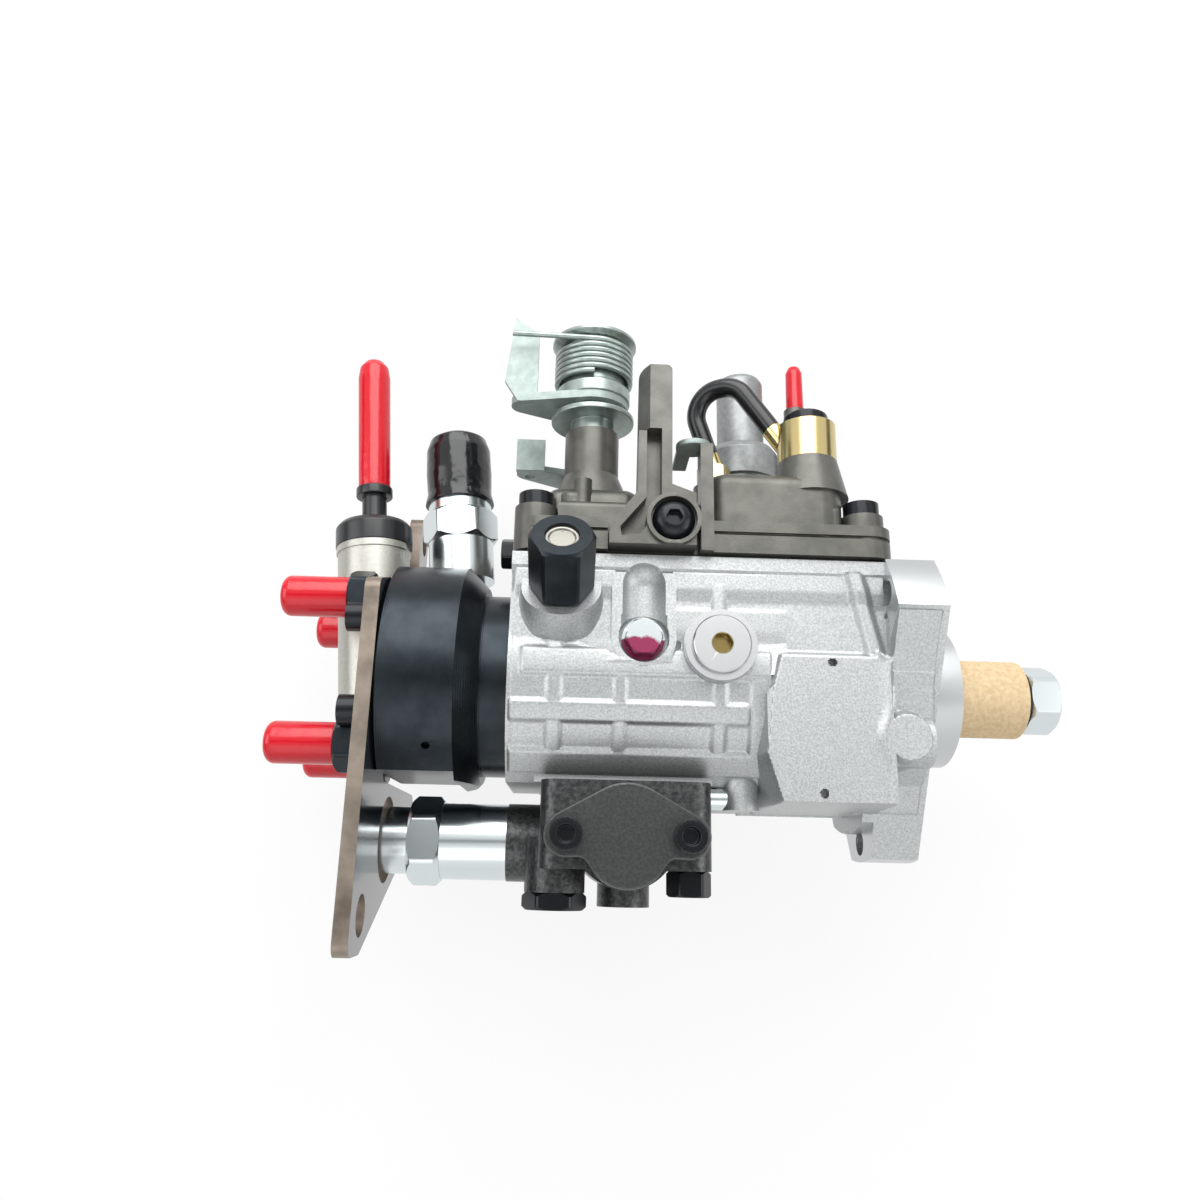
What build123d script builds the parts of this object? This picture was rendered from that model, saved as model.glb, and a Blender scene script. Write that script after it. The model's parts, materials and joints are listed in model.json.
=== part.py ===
from build123d import *
import os
from math import cos, radians, sin, sqrt

os.makedirs("parts", exist_ok=True)

# Frame: millimetres, origin at the centre of the flange's mounting face, +X out along the drive shaft,
# +Y away from the side with the plugs, +Z up towards the throttle lever.

# Clearances
RUN = 0.03            # oiled running fit, on the radius
FREE = 0.5            # plain gap between pieces that pass each other

# Mounting flange and pilot spigot
FLANGE_T = 16.5
FLANGE_IN = 38.0      # centre to the straight edges
FLANGE_R = 58.5       # turned corners
LUG_T = 7.5           # bosses behind the corners
HOLE_R = 52.0         # bolt holes, pitch radius
HOLE_D = 8.5
SPIGOT_R = 25.0
SPIGOT_L = 14.5

# Main housing
BODY_L = 139.5        # flange face to the head end
BODY_R = 43.0
SIDE_Y = BODY_R - 1.6     # flat side walls above the axis
RIM_H = 4.5           # rim under the cover joint
TOP_Z = 37.0          # joint with the control cover
LOW_Z = -36.0         # joint with the advance unit
TOP_W = 88.0          # width of the cover joint
RIB = 1.7             # height of the cast ribs
M6 = 3.0              # radius of the small screws
LOCK_X = -96.0        # shaft lock bolt
LOCK_Z = 9.0
LOCK_Y = BODY_R - 4.0     # its seat
LOCK_R = 4.2
LOCK_RELIEF = 7.8     # half width of the relief above it
TIMING_X = -71.5      # timing plug
TIMING_Z = 6.6
TIMING_Y = BODY_R + 3.0
TIMING_R = 6.0
WASHER_T = 1.5        # sealing washer of the timing plug
HEX_X = -123.0        # hex plug on the near side
HEX_Z = 21.0
HEX_RISE = 30.0
DRAIN_Y = -22.0       # drain stub
DRAIN_Z = -39.8
DRAIN_R = 3.6
DRAIN_END = -62.0

# Hydraulic head
HEAD_R = 42.3
NECK_R = 32.4
HEAD_NECK = -BODY_L - 10.0
HEAD_STEP = HEAD_NECK - 7.0
HEAD_END = HEAD_STEP - 25.5
HEAD_IN = HEAD_NECK + 37.5
HEAD_FLAT = -33.3
OUT_Y = 24.0
OUT_Z = 25.0
OUT_R = 6.0           # outlet thread

VALVE_X = HEAD_IN - 8.0   # metering valve, upright in the head
VALVE_R = 4.0

# Plates on the head
PLATE_T = 5.0
PLATE_F = -42.0       # front edge
PLATE_X = HEAD_END - PLATE_T
FOOT_HOLE = (-28.0, -78.3)
FOOT_R = 6.5
EYE = (37.0, 66.0)
EYE_R = 5.0

# Drive line
SHAFT_R = 10.0
SHAFT_NECK = 8.0      # inner end, and thin end of the taper
TAPER_END = 43.0
THREAD_R = 7.0
WRAP_R = 14.0
SHAFT_END = 53.0
NUT_X = 45.0
ROTOR_R = 11.0
CAM_X0 = -106.0
CAM_X1 = -92.0
CAM_R = 31.0
CAM_IN = 22.5         # base circle of the cam
LOBE = 1.5            # rise of the lobes
CAM_MID = (CAM_X0 + CAM_X1) / 2
PLUNGER_R = 4.0
SHOE = 12.5           # axis to the foot of the roller shoe
ROLLER_R = 3.2
GOV_X0 = -84.0
GOV_X1 = -60.0
GOV_R = 27.0
PIN_X = GOV_X0 + 9.0      # pins of the governor weights
PIN_Z = 20.0
PIN_R = 1.5
SLEEVE_X = -58.5      # face of the thrust sleeve that pushes the arm

# Governor linkage
PIVOT_X = SLEEVE_X + 2.1
PIVOT_Z = 29.0
PIVOT_R = 2.0
LINK_Z = 47.0
LINK_Y = 7.0

# Control cover
COVER_X0 = -BODY_L + 1.0
COVER_X1 = -12.5
GASKET = 1.0
COVER_TOP = 68.0
COVER_WALL = 5.0
THR_X = -114.0        # throttle shaft
THR_Y = -20.0
THR_R = 5.0
BOSS_TOP = 90.0
LEVER_Z = 100.0       # underside of the throttle lever
LEVER_T = 3.0
SPRING_Z = 109.0      # seat of the return spring
SPRING_R = 13.6
STOP_X = -118.0       # stop shaft
STOP_Y = 16.0
STOP_R = 4.0
STOP_Z = 86.0         # underside of the stop lever
CAP_X = -54.5         # boost capsule
CAP_Y = 6.0
VENT_X = -32.0        # capped vent behind it
BANJO_Z = 76.0
BANJO_H = 14.0
NIPPLE_Z = BANJO_Z - 4.0   # where the nipple's axis meets the bolt's
NIPPLE_TILT = 33.0
NIPPLE_L = 22.3
STEM_Z = 80.0         # top of the elbow's hexagon
STEM_TILT = 18.0
TUBE_R = 2.4          # nipples inside the hose
HOSE_R = 3.5
HOSE_TOP = 109.5
HOSE_BEND = 9.5
VENT_TOP = 137.0
END_Y = -12.0         # bolt in the end of the cover
END_Z = 46.5
SCREW_X = -87.0       # button screw of the bracket
SCREW_Z = 47.5
SCREW_R = 4.0
STOP_PLATE_Z = 76.0   # idle stop plate on the cover's rib
BANJO_X = -38.0
BANJO_Y = -33.0
ELBOW_X = -69.0
ELBOW_Y = -18.0

# Advance unit
ADV_X = -100.5        # piston axis lies along Y
ADV_Z = -53.0
ADV_R = 10.0
ADV_HALF = 40.0
ADV_W = 54.0
ADV_LOW = -69.0
ADV_PITCH = 18.6      # cover screws, either side of the axis
ADV_LID = 7.0         # thickness of the cover
PLUG_X = -122.5       # hex plug under the advance unit
PLUG_Y = -12.0
SENSOR_X = -79.0
SENSOR_Y = -20.0
INLET_Y = 5.0
INLET_Z = -54.4

# Stop solenoid and return union, both leaning back towards the pipes
LEAN = 5.0
SOL_Y = 2.0
SOL_R = 13.4
SOL_TOP = 51.5        # joint with the black cap
TERMINAL_Z = 76.0
RET_X = HEAD_END + 20.0
RET_Y = 15.0


def rod(r, x0, x1, y=0.0, z=0.0):
    return Pos((x0 + x1) / 2, y, z) * Rot(0, 90, 0) * Cylinder(r, abs(x1 - x0))


def bar(r, y0, y1, x=0.0, z=0.0):
    return Pos(x, (y0 + y1) / 2, z) * Rot(90, 0, 0) * Cylinder(r, abs(y1 - y0))


def post(r, z0, z1, x=0.0, y=0.0):
    return Pos(x, y, (z0 + z1) / 2) * Cylinder(r, abs(z1 - z0))


def block(x0, x1, y0, y1, z0, z1):
    return Pos((x0 + x1) / 2, (y0 + y1) / 2, (z0 + z1) / 2) * Box(x1 - x0, y1 - y0, z1 - z0)


def hexagon(af):
    return RegularPolygon(af / sqrt(3), 6)


def hex_z(af, z0, z1, x=0.0, y=0.0):
    body = extrude(Pos(x, y, z0) * hexagon(af), z1 - z0)
    cone = post(af / sqrt(3) * 0.97, z0, z1, x, y)
    cone = chamfer(cone.edges(), 0.06 * af)
    return body & cone


def hex_x(af, x0, x1, y=0.0, z=0.0):
    return Pos((x0 + x1) / 2, y, z) * Rot(0, 90, 0) * hex_z(af, -(x1 - x0) / 2, (x1 - x0) / 2)


def turned_x(points):
    return revolve(make_face(Polyline(*points, close=True)), Axis.X)


def turned_z(points):
    return revolve(Plane.XZ * make_face(Polyline(*points, close=True)), Axis.Z)


def yz_plate(sketch, x0, x1):
    return extrude(Plane.YZ.offset(x0) * sketch, x1 - x0)


def xz_plate(sketch, y0, y1):
    # thickness runs from y0 to y1 along +Y
    return extrude(Plane.XZ.offset(-y1) * sketch, y1 - y0)


def one(shape):
    return shape.solids()[0] if len(shape.solids()) == 1 else shape


def group(shapes):
    solids = []
    for shape in shapes:
        solids += list(shape.solids())
    return Compound(children=solids)


def save(name, shape):
    export_step(one(shape), "parts/" + name + ".step")


# Mounting positions shared by several pieces
FLANGE_HOLES = [(HOLE_R * cos(radians(a)), HOLE_R * sin(radians(a))) for a in (30, 150, 270)]
OUTLETS = [(-OUT_Y, OUT_Z), (-OUT_Y, -OUT_Z), (OUT_Y, OUT_Z), (OUT_Y, -OUT_Z)]
PLATE_SCREWS = [(-35.0, 15.5), (-35.0, -15.5), (35.0, 15.5), (35.0, -15.5)]
RIVETS = [(-35.8, 2.2), (-40.0, -39.0)]
COVER_BOLTS = [(x, y) for x in (COVER_X0 + 6, COVER_X1 - 9) for y in (-38.0, 38.0)]
ADV_SCREWS = [ADV_X - ADV_PITCH, ADV_X + ADV_PITCH]


def flange_sketch():
    tri = RegularPolygon(2 * FLANGE_IN, 3, rotation=90)
    return (Rot(0, 0, 180) * tri) & Circle(FLANGE_R)


def lug_arm(angle):
    # wall that joins a flange corner to the barrel of the housing
    return Rot(0, 0, angle) * Pos(HOLE_R / 2 - 5, 0) * Rectangle(HOLE_R - 10, 30)


HEX_FOOT = Pos(HEX_X, -BODY_R + 5, HEX_Z) * Rot(90 - HEX_RISE, 0, 0)


def ring_rib(x, width, a0, a1):
    # rib that follows the round of the housing, between two angles below the axis plane
    ring = rod(BODY_R + RIB, x, x + width) - rod(BODY_R - 3, x, x + width)
    keep = block(x, x + width, -BODY_R - 9, 0, BODY_R * sin(radians(a0)), BODY_R * sin(radians(a1)))
    return ring & keep


def long_rib(x0, x1, angle, width):
    slab = block(x0, x1, -BODY_R - RIB, -BODY_R + 6, -width / 2, width / 2)
    return Rot(-angle, 0, 0) * slab


def housing_rim():
    # thickened rim that carries the cover, drawn in below to the side walls
    half_w = TOP_W / 2
    low = TOP_Z - RIM_H - 2.6
    pts = [(0, TOP_Z), (half_w, TOP_Z), (half_w, TOP_Z - RIM_H), (SIDE_Y, low), (0, low)]
    half = yz_plate(make_face(Polyline(*pts, close=True)), -BODY_L, -FLANGE_T)
    return half + mirror(half, Plane.XZ)


def flange_web():
    # wavy wall behind the flange, swelling round the bolt bosses
    lobes = Circle(BODY_R - 1) + flange_sketch() & Circle(HOLE_R - 3)
    web = yz_plate(lobes, -FLANGE_T - 4, -FLANGE_T)
    web += rod(8.5, -FLANGE_T - 4, -3, -35, -21)
    return web & block(-FLANGE_T - 4, 0, -60, 60, -60, TOP_Z)


def housing_ribs():
    ribs = long_rib(-132, -50, 4, 10.5)
    ribs += long_rib(-138, -57, -24, 8.5)
    for x in (-126, -104, -69):
        ribs += ring_rib(x, 4.5, -46, 6)
    return ribs


def pad():
    # flat pad beside the flange, left bare
    outline = Polyline((-46, 4), (-17, 4), (-17, -41), (-50, -41), (-57, -24), (-57, -8), close=True)
    return xz_plate(make_face(outline), -BODY_R - 2.5, -20)


def main_housing():
    body = rod(BODY_R, -BODY_L, -56) + rod(BODY_R - 1, -58, -10)
    body += block(-BODY_L, -FLANGE_T, -SIDE_Y, SIDE_Y, 0, TOP_Z)
    body += housing_rim()
    body -= block(-BODY_L - 1, -70, -60, 60, -60, LOW_Z)
    body -= block(-BODY_L - 1, 0, -60, 60, TOP_Z, 60)
    body += block(-130, -72, -27, 27, LOW_Z, LOW_Z + 12)
    body += housing_ribs() + pad() + flange_web()
    body += HEX_FOOT * Cone(16.4, 13.0, 16)
    body += bar(12.0, -TIMING_Y, -20, TIMING_X, TIMING_Z)
    body += bar(10.5, -BODY_R - RIB, -30, LOCK_X, LOCK_Z)
    body += block(LOCK_X - 10.5, LOCK_X + 10.5, -BODY_R - 0.6, -30, LOCK_Z, TOP_Z - 6)
    body += post(6.0, -BODY_R - 0.5, -20, DRAIN_END, DRAIN_Y)
    body += yz_plate(flange_sketch(), -FLANGE_T, 0)
    for angle in (30, 150, 270):
        body += yz_plate(lug_arm(angle) & flange_sketch(), -FLANGE_T - LUG_T, -FLANGE_T)
    body += rod(SPIGOT_R, 0, SPIGOT_L)
    # relief for the socket that turns the shaft lock bolt
    body -= post(LOCK_RELIEF, LOCK_Z, TOP_Z - 10, LOCK_X, -LOCK_Y - 8)
    body -= Pos(LOCK_X, -LOCK_Y - 8, TOP_Z - 10) * Sphere(LOCK_RELIEF)
    body -= bar(8.2, -LOCK_Y - 21, -LOCK_Y, LOCK_X, LOCK_Z)
    # plugs, rivets and bolt holes
    body -= bar(TIMING_R, -60, -20, TIMING_X, TIMING_Z)
    for x, z in RIVETS:
        body -= bar(1.6, -BODY_R - 3, -BODY_R + 2, x, z)
    for y, z in FLANGE_HOLES:
        body -= rod(HOLE_D / 2, -FLANGE_T - LUG_T - 5, 1, y, z)
    # working space for the drive line and the governor
    body -= rod(NECK_R + RUN, -BODY_L - 1, HEAD_IN)
    body -= rod(CAM_R + FREE, HEAD_IN - 1, GOV_X1 + 2)
    body -= rod(25.0, GOV_X1, -30)
    body -= rod(SHAFT_R + 4, -31, 3)
    body -= rod(SHAFT_R + 8, 2, SPIGOT_L + 1)
    body -= block(-96, -34, -24, 24, 12, TOP_Z + 1)
    body -= block(-BODY_L + 3.5, -96.5, -26, 26, 33, TOP_Z + 1)
    # passage for the cam stud
    body -= block(-105, -93, -14, 14, LOW_Z - 2, -CAM_R + 4)
    body -= HEX_FOOT * post(6, -4, 20)
    body -= HEX_FOOT * post(11.5, 8, 40)
    for x, y in COVER_BOLTS:
        body -= post(M6, TOP_Z - 4, TOP_Z + 1, x, y)
    body -= bar(LOCK_R, -60, -30, LOCK_X, LOCK_Z)
    body -= bar(PIVOT_R + RUN, -28, 28, PIVOT_X, PIVOT_Z)
    body -= post(6.0, 20, TOP_Z, VALVE_X, 0)
    return body - rod(DRAIN_R, -80, DRAIN_END, DRAIN_Y, DRAIN_Z)


# Hydraulic head and what is fixed to it
def hydraulic_head():
    head = turned_x([
        (HEAD_END, 0), (HEAD_END, HEAD_R - 0.8), (HEAD_END + 0.8, HEAD_R), (HEAD_STEP, HEAD_R),
        (HEAD_NECK, 35.0), (HEAD_NECK, NECK_R), (HEAD_IN, NECK_R), (HEAD_IN, 0)])
    head -= block(HEAD_END - 1, HEAD_STEP, -60, 60, -60, HEAD_FLAT)
    head -= block(HEAD_STEP - 1, HEAD_NECK, -60, 60, -60, HEAD_FLAT - 2.6)
    head -= rod(ROTOR_R + RUN, HEAD_END + 10, HEAD_IN + 1)
    for y, z in OUTLETS:
        head -= rod(OUT_R, HEAD_END - 1, HEAD_END + 12, y, z)
    for y, z in PLATE_SCREWS:
        head -= rod(M6, HEAD_END - 1, HEAD_END + 11, y, z)
    head -= rod(7.0, HEAD_END - 1, HEAD_END + 11, SOL_Y, 0)
    head -= post(VALVE_R + RUN, ROTOR_R + 4, NECK_R + 1, VALVE_X, 0)
    head -= Rot(38, 0, 0) * bar(1.4, -HEAD_R - 1, -HEAD_R + 3, HEAD_END + 17, 0)
    head -= Rot(-83, 0, 0) * bar(1.4, -HEAD_R - 1, -HEAD_R + 3, HEAD_END + 18, 0)
    return head - RET_FOOT * post(9.0, -8, 12)


def through_plate(r, y, z):
    return rod(r, PLATE_X - 1, HEAD_END + 1, y, z)


def support_plate():
    # plate on the near side of the head, with the foot that steadies the pump
    pts = [(PLATE_F, -90), (-26, -90), (56, -53), (56, -35.5)]
    pts += [(-12, -35.5), (-12, 34), (-22, 33.5), (PLATE_F, 27)]
    sketch = make_face(FilletPolyline(*pts, radius=4.5, close=True))
    plate = yz_plate(sketch, PLATE_X, HEAD_END)
    plate -= through_plate(14.7, INLET_Y, INLET_Z) + through_plate(FOOT_R, *FOOT_HOLE)
    for y, z in OUTLETS[:2]:
        plate -= through_plate(OUT_R, y, z)
    for y, z in PLATE_SCREWS[:2]:
        plate -= through_plate(M6, y, z)
    return plate


def lifting_plate():
    # plate on the far side of the head, rising to an eye
    pts = [(42, -30), (42, 40), (46, 52), (46, 75), (28, 75), (28, 50), (18, 34), (16, -30)]
    sketch = make_face(FilletPolyline(*pts, radius=4.5, close=True))
    plate = yz_plate(sketch, PLATE_X, HEAD_END)
    plate -= through_plate(EYE_R, *EYE)
    for y, z in OUTLETS[2:]:
        plate -= through_plate(OUT_R, y, z)
    for y, z in PLATE_SCREWS[2:]:
        plate -= through_plate(M6, y, z)
    return plate


def socket_screw_x(y, z):
    screw = rod(5.0, PLATE_X - 6, PLATE_X, y, z) + rod(M6, PLATE_X, HEAD_END + 10, y, z)
    return screw - hex_x(5, PLATE_X - 7, PLATE_X - 3, y, z)


def outlet_union(y, z):
    union = hex_x(17, PLATE_X - 8, PLATE_X, y, z) + rod(OUT_R, PLATE_X - 22, PLATE_X - 8, y, z)
    union += rod(OUT_R, PLATE_X, HEAD_END + 10, y, z)
    return union - rod(1.6, PLATE_X - 23, HEAD_END + 5, y, z)


def outlet_cap(y, z):
    face = PLATE_X - 8.2
    cap = rod(7.0, face - 23, face, y, z)
    cap = fillet(cap.edges().group_by(Axis.X)[0], 3.0)
    return cap - rod(OUT_R, face - 15, face + 1, y, z)


SOL_FOOT = Pos(HEAD_END - 8.2, SOL_Y, 0) * Rot(0, -LEAN, 0)


def solenoid_body():
    # cast holder whose back is milled flat on the end of the head
    lip = SOL_R + 0.5
    body = SOL_FOOT * turned_z([
        (0, -22), (SOL_R - 3, -22), (SOL_R - 0.8, -18), (SOL_R, SOL_TOP - 2.5),
        (lip, SOL_TOP - 2.5), (lip, SOL_TOP), (0, SOL_TOP)])
    body -= SOL_FOOT * post(6.0, 4, 60)
    body -= SOL_FOOT * post(10.0, 40, 60)
    body -= block(HEAD_END, HEAD_END + 40, -60, 60, -60, 90)
    return body + rod(7.0, HEAD_END - 2, HEAD_END + 10.5, SOL_Y, 0)


def solenoid_core():
    # armature with its valve tip
    core = turned_z([(0, 8), (2, 8), (4.5, 14), (5.6, 15), (5.6, 36), (0, 36)])
    return SOL_FOOT * core


def solenoid_cap():
    rim = SOL_R + 0.8
    cap = turned_z([
        (0, 40), (10, 40), (10, SOL_TOP), (rim, SOL_TOP), (rim, 59), (12.6, 61), (4.6, 61), (4.6, 72.5),
        (6.8, 72.5), (6.8, TERMINAL_Z), (2.5, TERMINAL_Z), (2.5, 96), (0, 96)])
    return SOL_FOOT * cap


def solenoid_terminal_cap():
    cap = turned_z([(0, 0), (6.0, 0), (6.2, 47), (5.6, 51.5), (3.6, 54.2), (1.2, 55), (0, 55)])
    return SOL_FOOT * (Pos(0, 0, TERMINAL_Z) * cap - post(2.5, TERMINAL_Z - 1, 96))


RET_FOOT = Pos(RET_X, RET_Y, 36) * Rot(0, -LEAN, 0)


def return_union():
    union = post(9.0, -6, 8) + post(12.6, 7, 24) + hex_z(26, 23, 35) + post(12.3, 35, 39) + post(10.2, 39, 60)
    union -= post(4.0, -7, 61)
    return RET_FOOT * union - rod(HEAD_R - 8, HEAD_END, HEAD_NECK)


def return_union_cap():
    cap = turned_z([
        (0, 39), (13.5, 39), (13.3, 40.6), (12.6, 43.5), (12.9, 52), (12.7, 62),
        (11.2, 66.6), (8, 68.6), (0, 69)])
    return RET_FOOT * (cap - post(10.2, 38, 60))


def inlet_union():
    x0 = ADV_X - 39
    hex0 = HEAD_END + 9.0
    union = rod(12.9, hex0 + 11, x0, INLET_Y, INLET_Z) + hex_x(27, hex0, hex0 + 11, INLET_Y, INLET_Z)
    union += rod(11.4, HEAD_END - 2.5, hex0, INLET_Y, INLET_Z) + rod(8.0, x0, x0 + 11, INLET_Y, INLET_Z)
    return union - rod(5.5, HEAD_END - 3, x0 + 12, INLET_Y, INLET_Z)


# Advance unit under the housing
def diamond(sx, sz):
    left, right = ADV_SCREWS
    hull = make_hull(
        (Pos(left, ADV_Z) * Circle(sx)).edges() + (Pos(right, ADV_Z) * Circle(sx)).edges()
        + (Pos(ADV_X, ADV_Z) * Circle(sz)).edges())
    return hull


def advance_housing():
    x0, x1 = ADV_X - ADV_W / 2, ADV_X + ADV_W / 2
    body = block(x0, x1, -ADV_HALF, ADV_HALF, ADV_LOW + 6, LOW_Z)
    body = fillet(body.edges().filter_by(Axis.Z), 6)
    body += bar(16.0, -ADV_HALF, ADV_HALF, ADV_X, ADV_Z)
    for x in ADV_SCREWS:
        body += bar(7.0, -ADV_HALF, -ADV_HALF + 22, x, ADV_Z)
    body += rod(13.2, x0 - 12, x0 + 6, INLET_Y, INLET_Z)
    body += post(9.0, -75, ADV_Z, ADV_X + 1.5, 2) + post(10.0, -70.5, ADV_Z, PLUG_X, PLUG_Y)
    body -= bar(ADV_R + RUN, -ADV_HALF - 1, ADV_HALF - 5, ADV_X, ADV_Z)
    body -= block(-105, -93, -14, 14, ADV_Z, LOW_Z + 1)
    body -= rod(8.0, x0 - 13, x0 - 1, INLET_Y, INLET_Z)
    body -= post(7.0, -72, ADV_Z - 5, PLUG_X, PLUG_Y)
    body -= post(4.0, -80, ADV_Z - 6, SENSOR_X, SENSOR_Y)
    for x in ADV_SCREWS:
        body -= bar(M6, -ADV_HALF - 1, -ADV_HALF + 14, x, ADV_Z)
    return body


def advance_cover():
    cover = xz_plate(diamond(6.8, 15.8), -ADV_HALF - ADV_LID, -ADV_HALF)
    cover = chamfer(cover.edges().group_by(Axis.Y)[0], 0.8)
    for x in ADV_SCREWS:
        cover -= bar(M6, -60, 0, x, ADV_Z)
    return cover


def advance_screw(x):
    face = -ADV_HALF - ADV_LID
    screw = bar(5.0, face - 6, face, x, ADV_Z) + bar(M6, face, -ADV_HALF + 12, x, ADV_Z)
    return screw - bar(2.6, face - 7, face - 3, x, ADV_Z)


def advance_plug():
    return hex_z(19, -76, -70.5, PLUG_X, PLUG_Y) + post(7.0, -70.5, ADV_Z - 8, PLUG_X, PLUG_Y)


def advance_sensor():
    top = ADV_LOW + 6
    return hex_z(13, top - 8, top, SENSOR_X, SENSOR_Y) + post(4.0, top, ADV_Z - 8, SENSOR_X, SENSOR_Y)


def advance_piston():
    piston = bar(ADV_R, -17, 17, ADV_X, ADV_Z)
    piston -= post(5.0, ADV_Z - 6, LOW_Z, ADV_X, 0)
    return piston - bar(7.0, -18, -9, ADV_X, ADV_Z)


def coil(radius, wire, turns, height):
    path = Helix(height / turns, height, radius)
    section = Plane(path @ 0, z_dir=path % 0) * Circle(wire)
    return sweep(section, path)


def coil_with_leg(radius, wire, turns, height, leg):
    # left-hand coil whose last turn runs out straight
    path = Helix(height / turns, height, radius, lefthand=True)
    section = Plane(path @ 0, z_dir=path % 0) * Circle(wire)
    run_out = Edge.make_line(path @ 1, path @ 1 + leg * (path % 1))
    return sweep(section, Wire([path.edge(), run_out]))


def advance_spring():
    spring = coil(5.6, 0.9, 6, ADV_HALF - 11.5)
    return Pos(ADV_X, -ADV_HALF + 1, ADV_Z) * Rot(-90, 0, 0) * spring


# Drive line
def drive_shaft():
    shaft = turned_x([
        (GOV_X0 - 6, 0), (GOV_X0 - 6, 7), (GOV_X0, 7), (GOV_X0, SHAFT_NECK), (SLEEVE_X + 2.2, SHAFT_NECK),
        (SLEEVE_X + 2.2, SHAFT_R), (SPIGOT_L, SHAFT_R), (TAPER_END, SHAFT_NECK), (TAPER_END, THREAD_R),
        (SHAFT_END, THREAD_R), (SHAFT_END, 0)])
    return chamfer(shaft.edges().sort_by(Axis.X)[-1], 1.0)


def paper_wrap():
    # rolled paper that keeps the taper clean in storage
    start = SPIGOT_L + FREE
    taper = (SHAFT_R - SHAFT_NECK) / (TAPER_END - SPIGOT_L)
    return turned_x([
        (start, SHAFT_R - taper * FREE), (start, WRAP_R), (TAPER_END, WRAP_R), (TAPER_END, SHAFT_NECK)])


def nut_washer():
    return rod(11.5, TAPER_END, NUT_X) - rod(THREAD_R, TAPER_END - 1, NUT_X + 1)


def shaft_nut():
    nut = hex_x(22, NUT_X, NUT_X + 10.6)
    return nut - rod(THREAD_R, NUT_X - 1, NUT_X + 20)


def shaft_seal():
    return rod(SHAFT_R + 8, 3, SPIGOT_L - 1) - rod(SHAFT_R + RUN, 0, 20)


def shaft_bush():
    return rod(SHAFT_R + 4, -30, 0) - rod(SHAFT_R + RUN, -40, 2)


def distributor_rotor():
    rotor = turned_x([
        (HEAD_END + 12, 0), (HEAD_END + 12, ROTOR_R), (HEAD_IN + 1, ROTOR_R), (HEAD_IN + 3, 14),
        (CAM_X1 + 1, 14), (CAM_X1 + 1, 9.5), (GOV_X0 - 6.2, 9.5), (GOV_X0 - 6.2, 0)])
    return rotor - bar(PLUNGER_R, -20, 20, CAM_MID, 0)


def plungers():
    return group([bar(PLUNGER_R, 3, SHOE, CAM_MID, 0), bar(PLUNGER_R, -SHOE, -3, CAM_MID, 0)])


def rollers():
    # roller and shoe on each plunger
    centre = CAM_IN - LOBE - 0.3 - ROLLER_R
    shoe = bar(PLUNGER_R, SHOE, SHOE + 4.5, CAM_MID, 0)
    shoe += rod(ROLLER_R, CAM_X0 + 1.5, CAM_X1 - 1.5, centre, 0)
    return group([shoe, Rot(180, 0, 0) * shoe])


def cam_ring():
    # four smooth lobes inside, the stud below reaches the advance piston
    steps = 48
    pts = []
    for i in range(steps):
        a = radians(360 * i / steps)
        r = CAM_IN - LOBE * (0.5 + 0.5 * cos(4 * a)) ** 3
        pts.append((r * cos(a), r * sin(a)))
    inner = make_face(Spline(*pts, periodic=True))
    ring = yz_plate(Circle(CAM_R) - inner, CAM_X0, CAM_X1)
    ring += post(4.0, ADV_Z + 2, -CAM_R + 3, ADV_X, 0)
    return ring + Pos(ADV_X, 0, ADV_Z + 1) * Sphere(4.7)


def governor_cage():
    # disc with two pairs of ears for the weights
    cage = rod(GOV_R, GOV_X0, GOV_X0 + 3) + rod(11, GOV_X0 + 3, GOV_X0 + 7)
    ears = block(GOV_X0, PIN_X + 3, -10.5, -7.5, 14.5, 24) + block(GOV_X0, PIN_X + 3, 7.5, 10.5, 14.5, 24)
    ears -= bar(PIN_R + RUN, -30, 30, PIN_X, PIN_Z)
    cage += ears + Rot(180, 0, 0) * ears
    return cage - rod(SHAFT_NECK, GOV_X0 - 1, GOV_X0 + 10)


def governor_weight(side):
    weight = block(GOV_X0 + 5.5, GOV_X0 + 20, -7, 7, 16.5, 24)
    weight = fillet(weight.edges().filter_by(Axis.Y), 1.5)
    weight += block(PIN_X - 1.5, PIN_X + 1.5, -5, 5, 11.5, 17)
    weight += bar(PIN_R, -10.5, 10.5, PIN_X, PIN_Z)
    return weight if side > 0 else Rot(180, 0, 0) * weight


def thrust_sleeve():
    sleeve = rod(11, SLEEVE_X - 7.5, SLEEVE_X) + rod(14, SLEEVE_X - 2.5, SLEEVE_X)
    sleeve += rod(13.5, GOV_X0 + 10.8, GOV_X0 + 13) + rod(10, GOV_X0 + 13, SLEEVE_X - 6)
    return sleeve - rod(SHAFT_NECK + RUN, GOV_X0, SLEEVE_X + 1)


# Control cover and the pieces on it
SEAT_Z = TOP_Z + GASKET


def rounded_plate(x0, x1, half, z0, z1, r):
    sketch = Pos((x0 + x1) / 2, 0, z0) * RectangleRounded(x1 - x0, 2 * half, r)
    return extrude(sketch, z1 - z0)


def cover_gasket():
    sheet = rounded_plate(COVER_X0, COVER_X1 - 6, TOP_W / 2 - 1, TOP_Z, SEAT_Z, 8)
    sheet -= block(COVER_X0 + 11.5, -33, -25, 25, TOP_Z - 1, SEAT_Z + 1)
    for x, y in COVER_BOLTS:
        sheet -= post(M6, TOP_Z - 1, SEAT_Z + 1, x, y)
    return sheet


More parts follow.
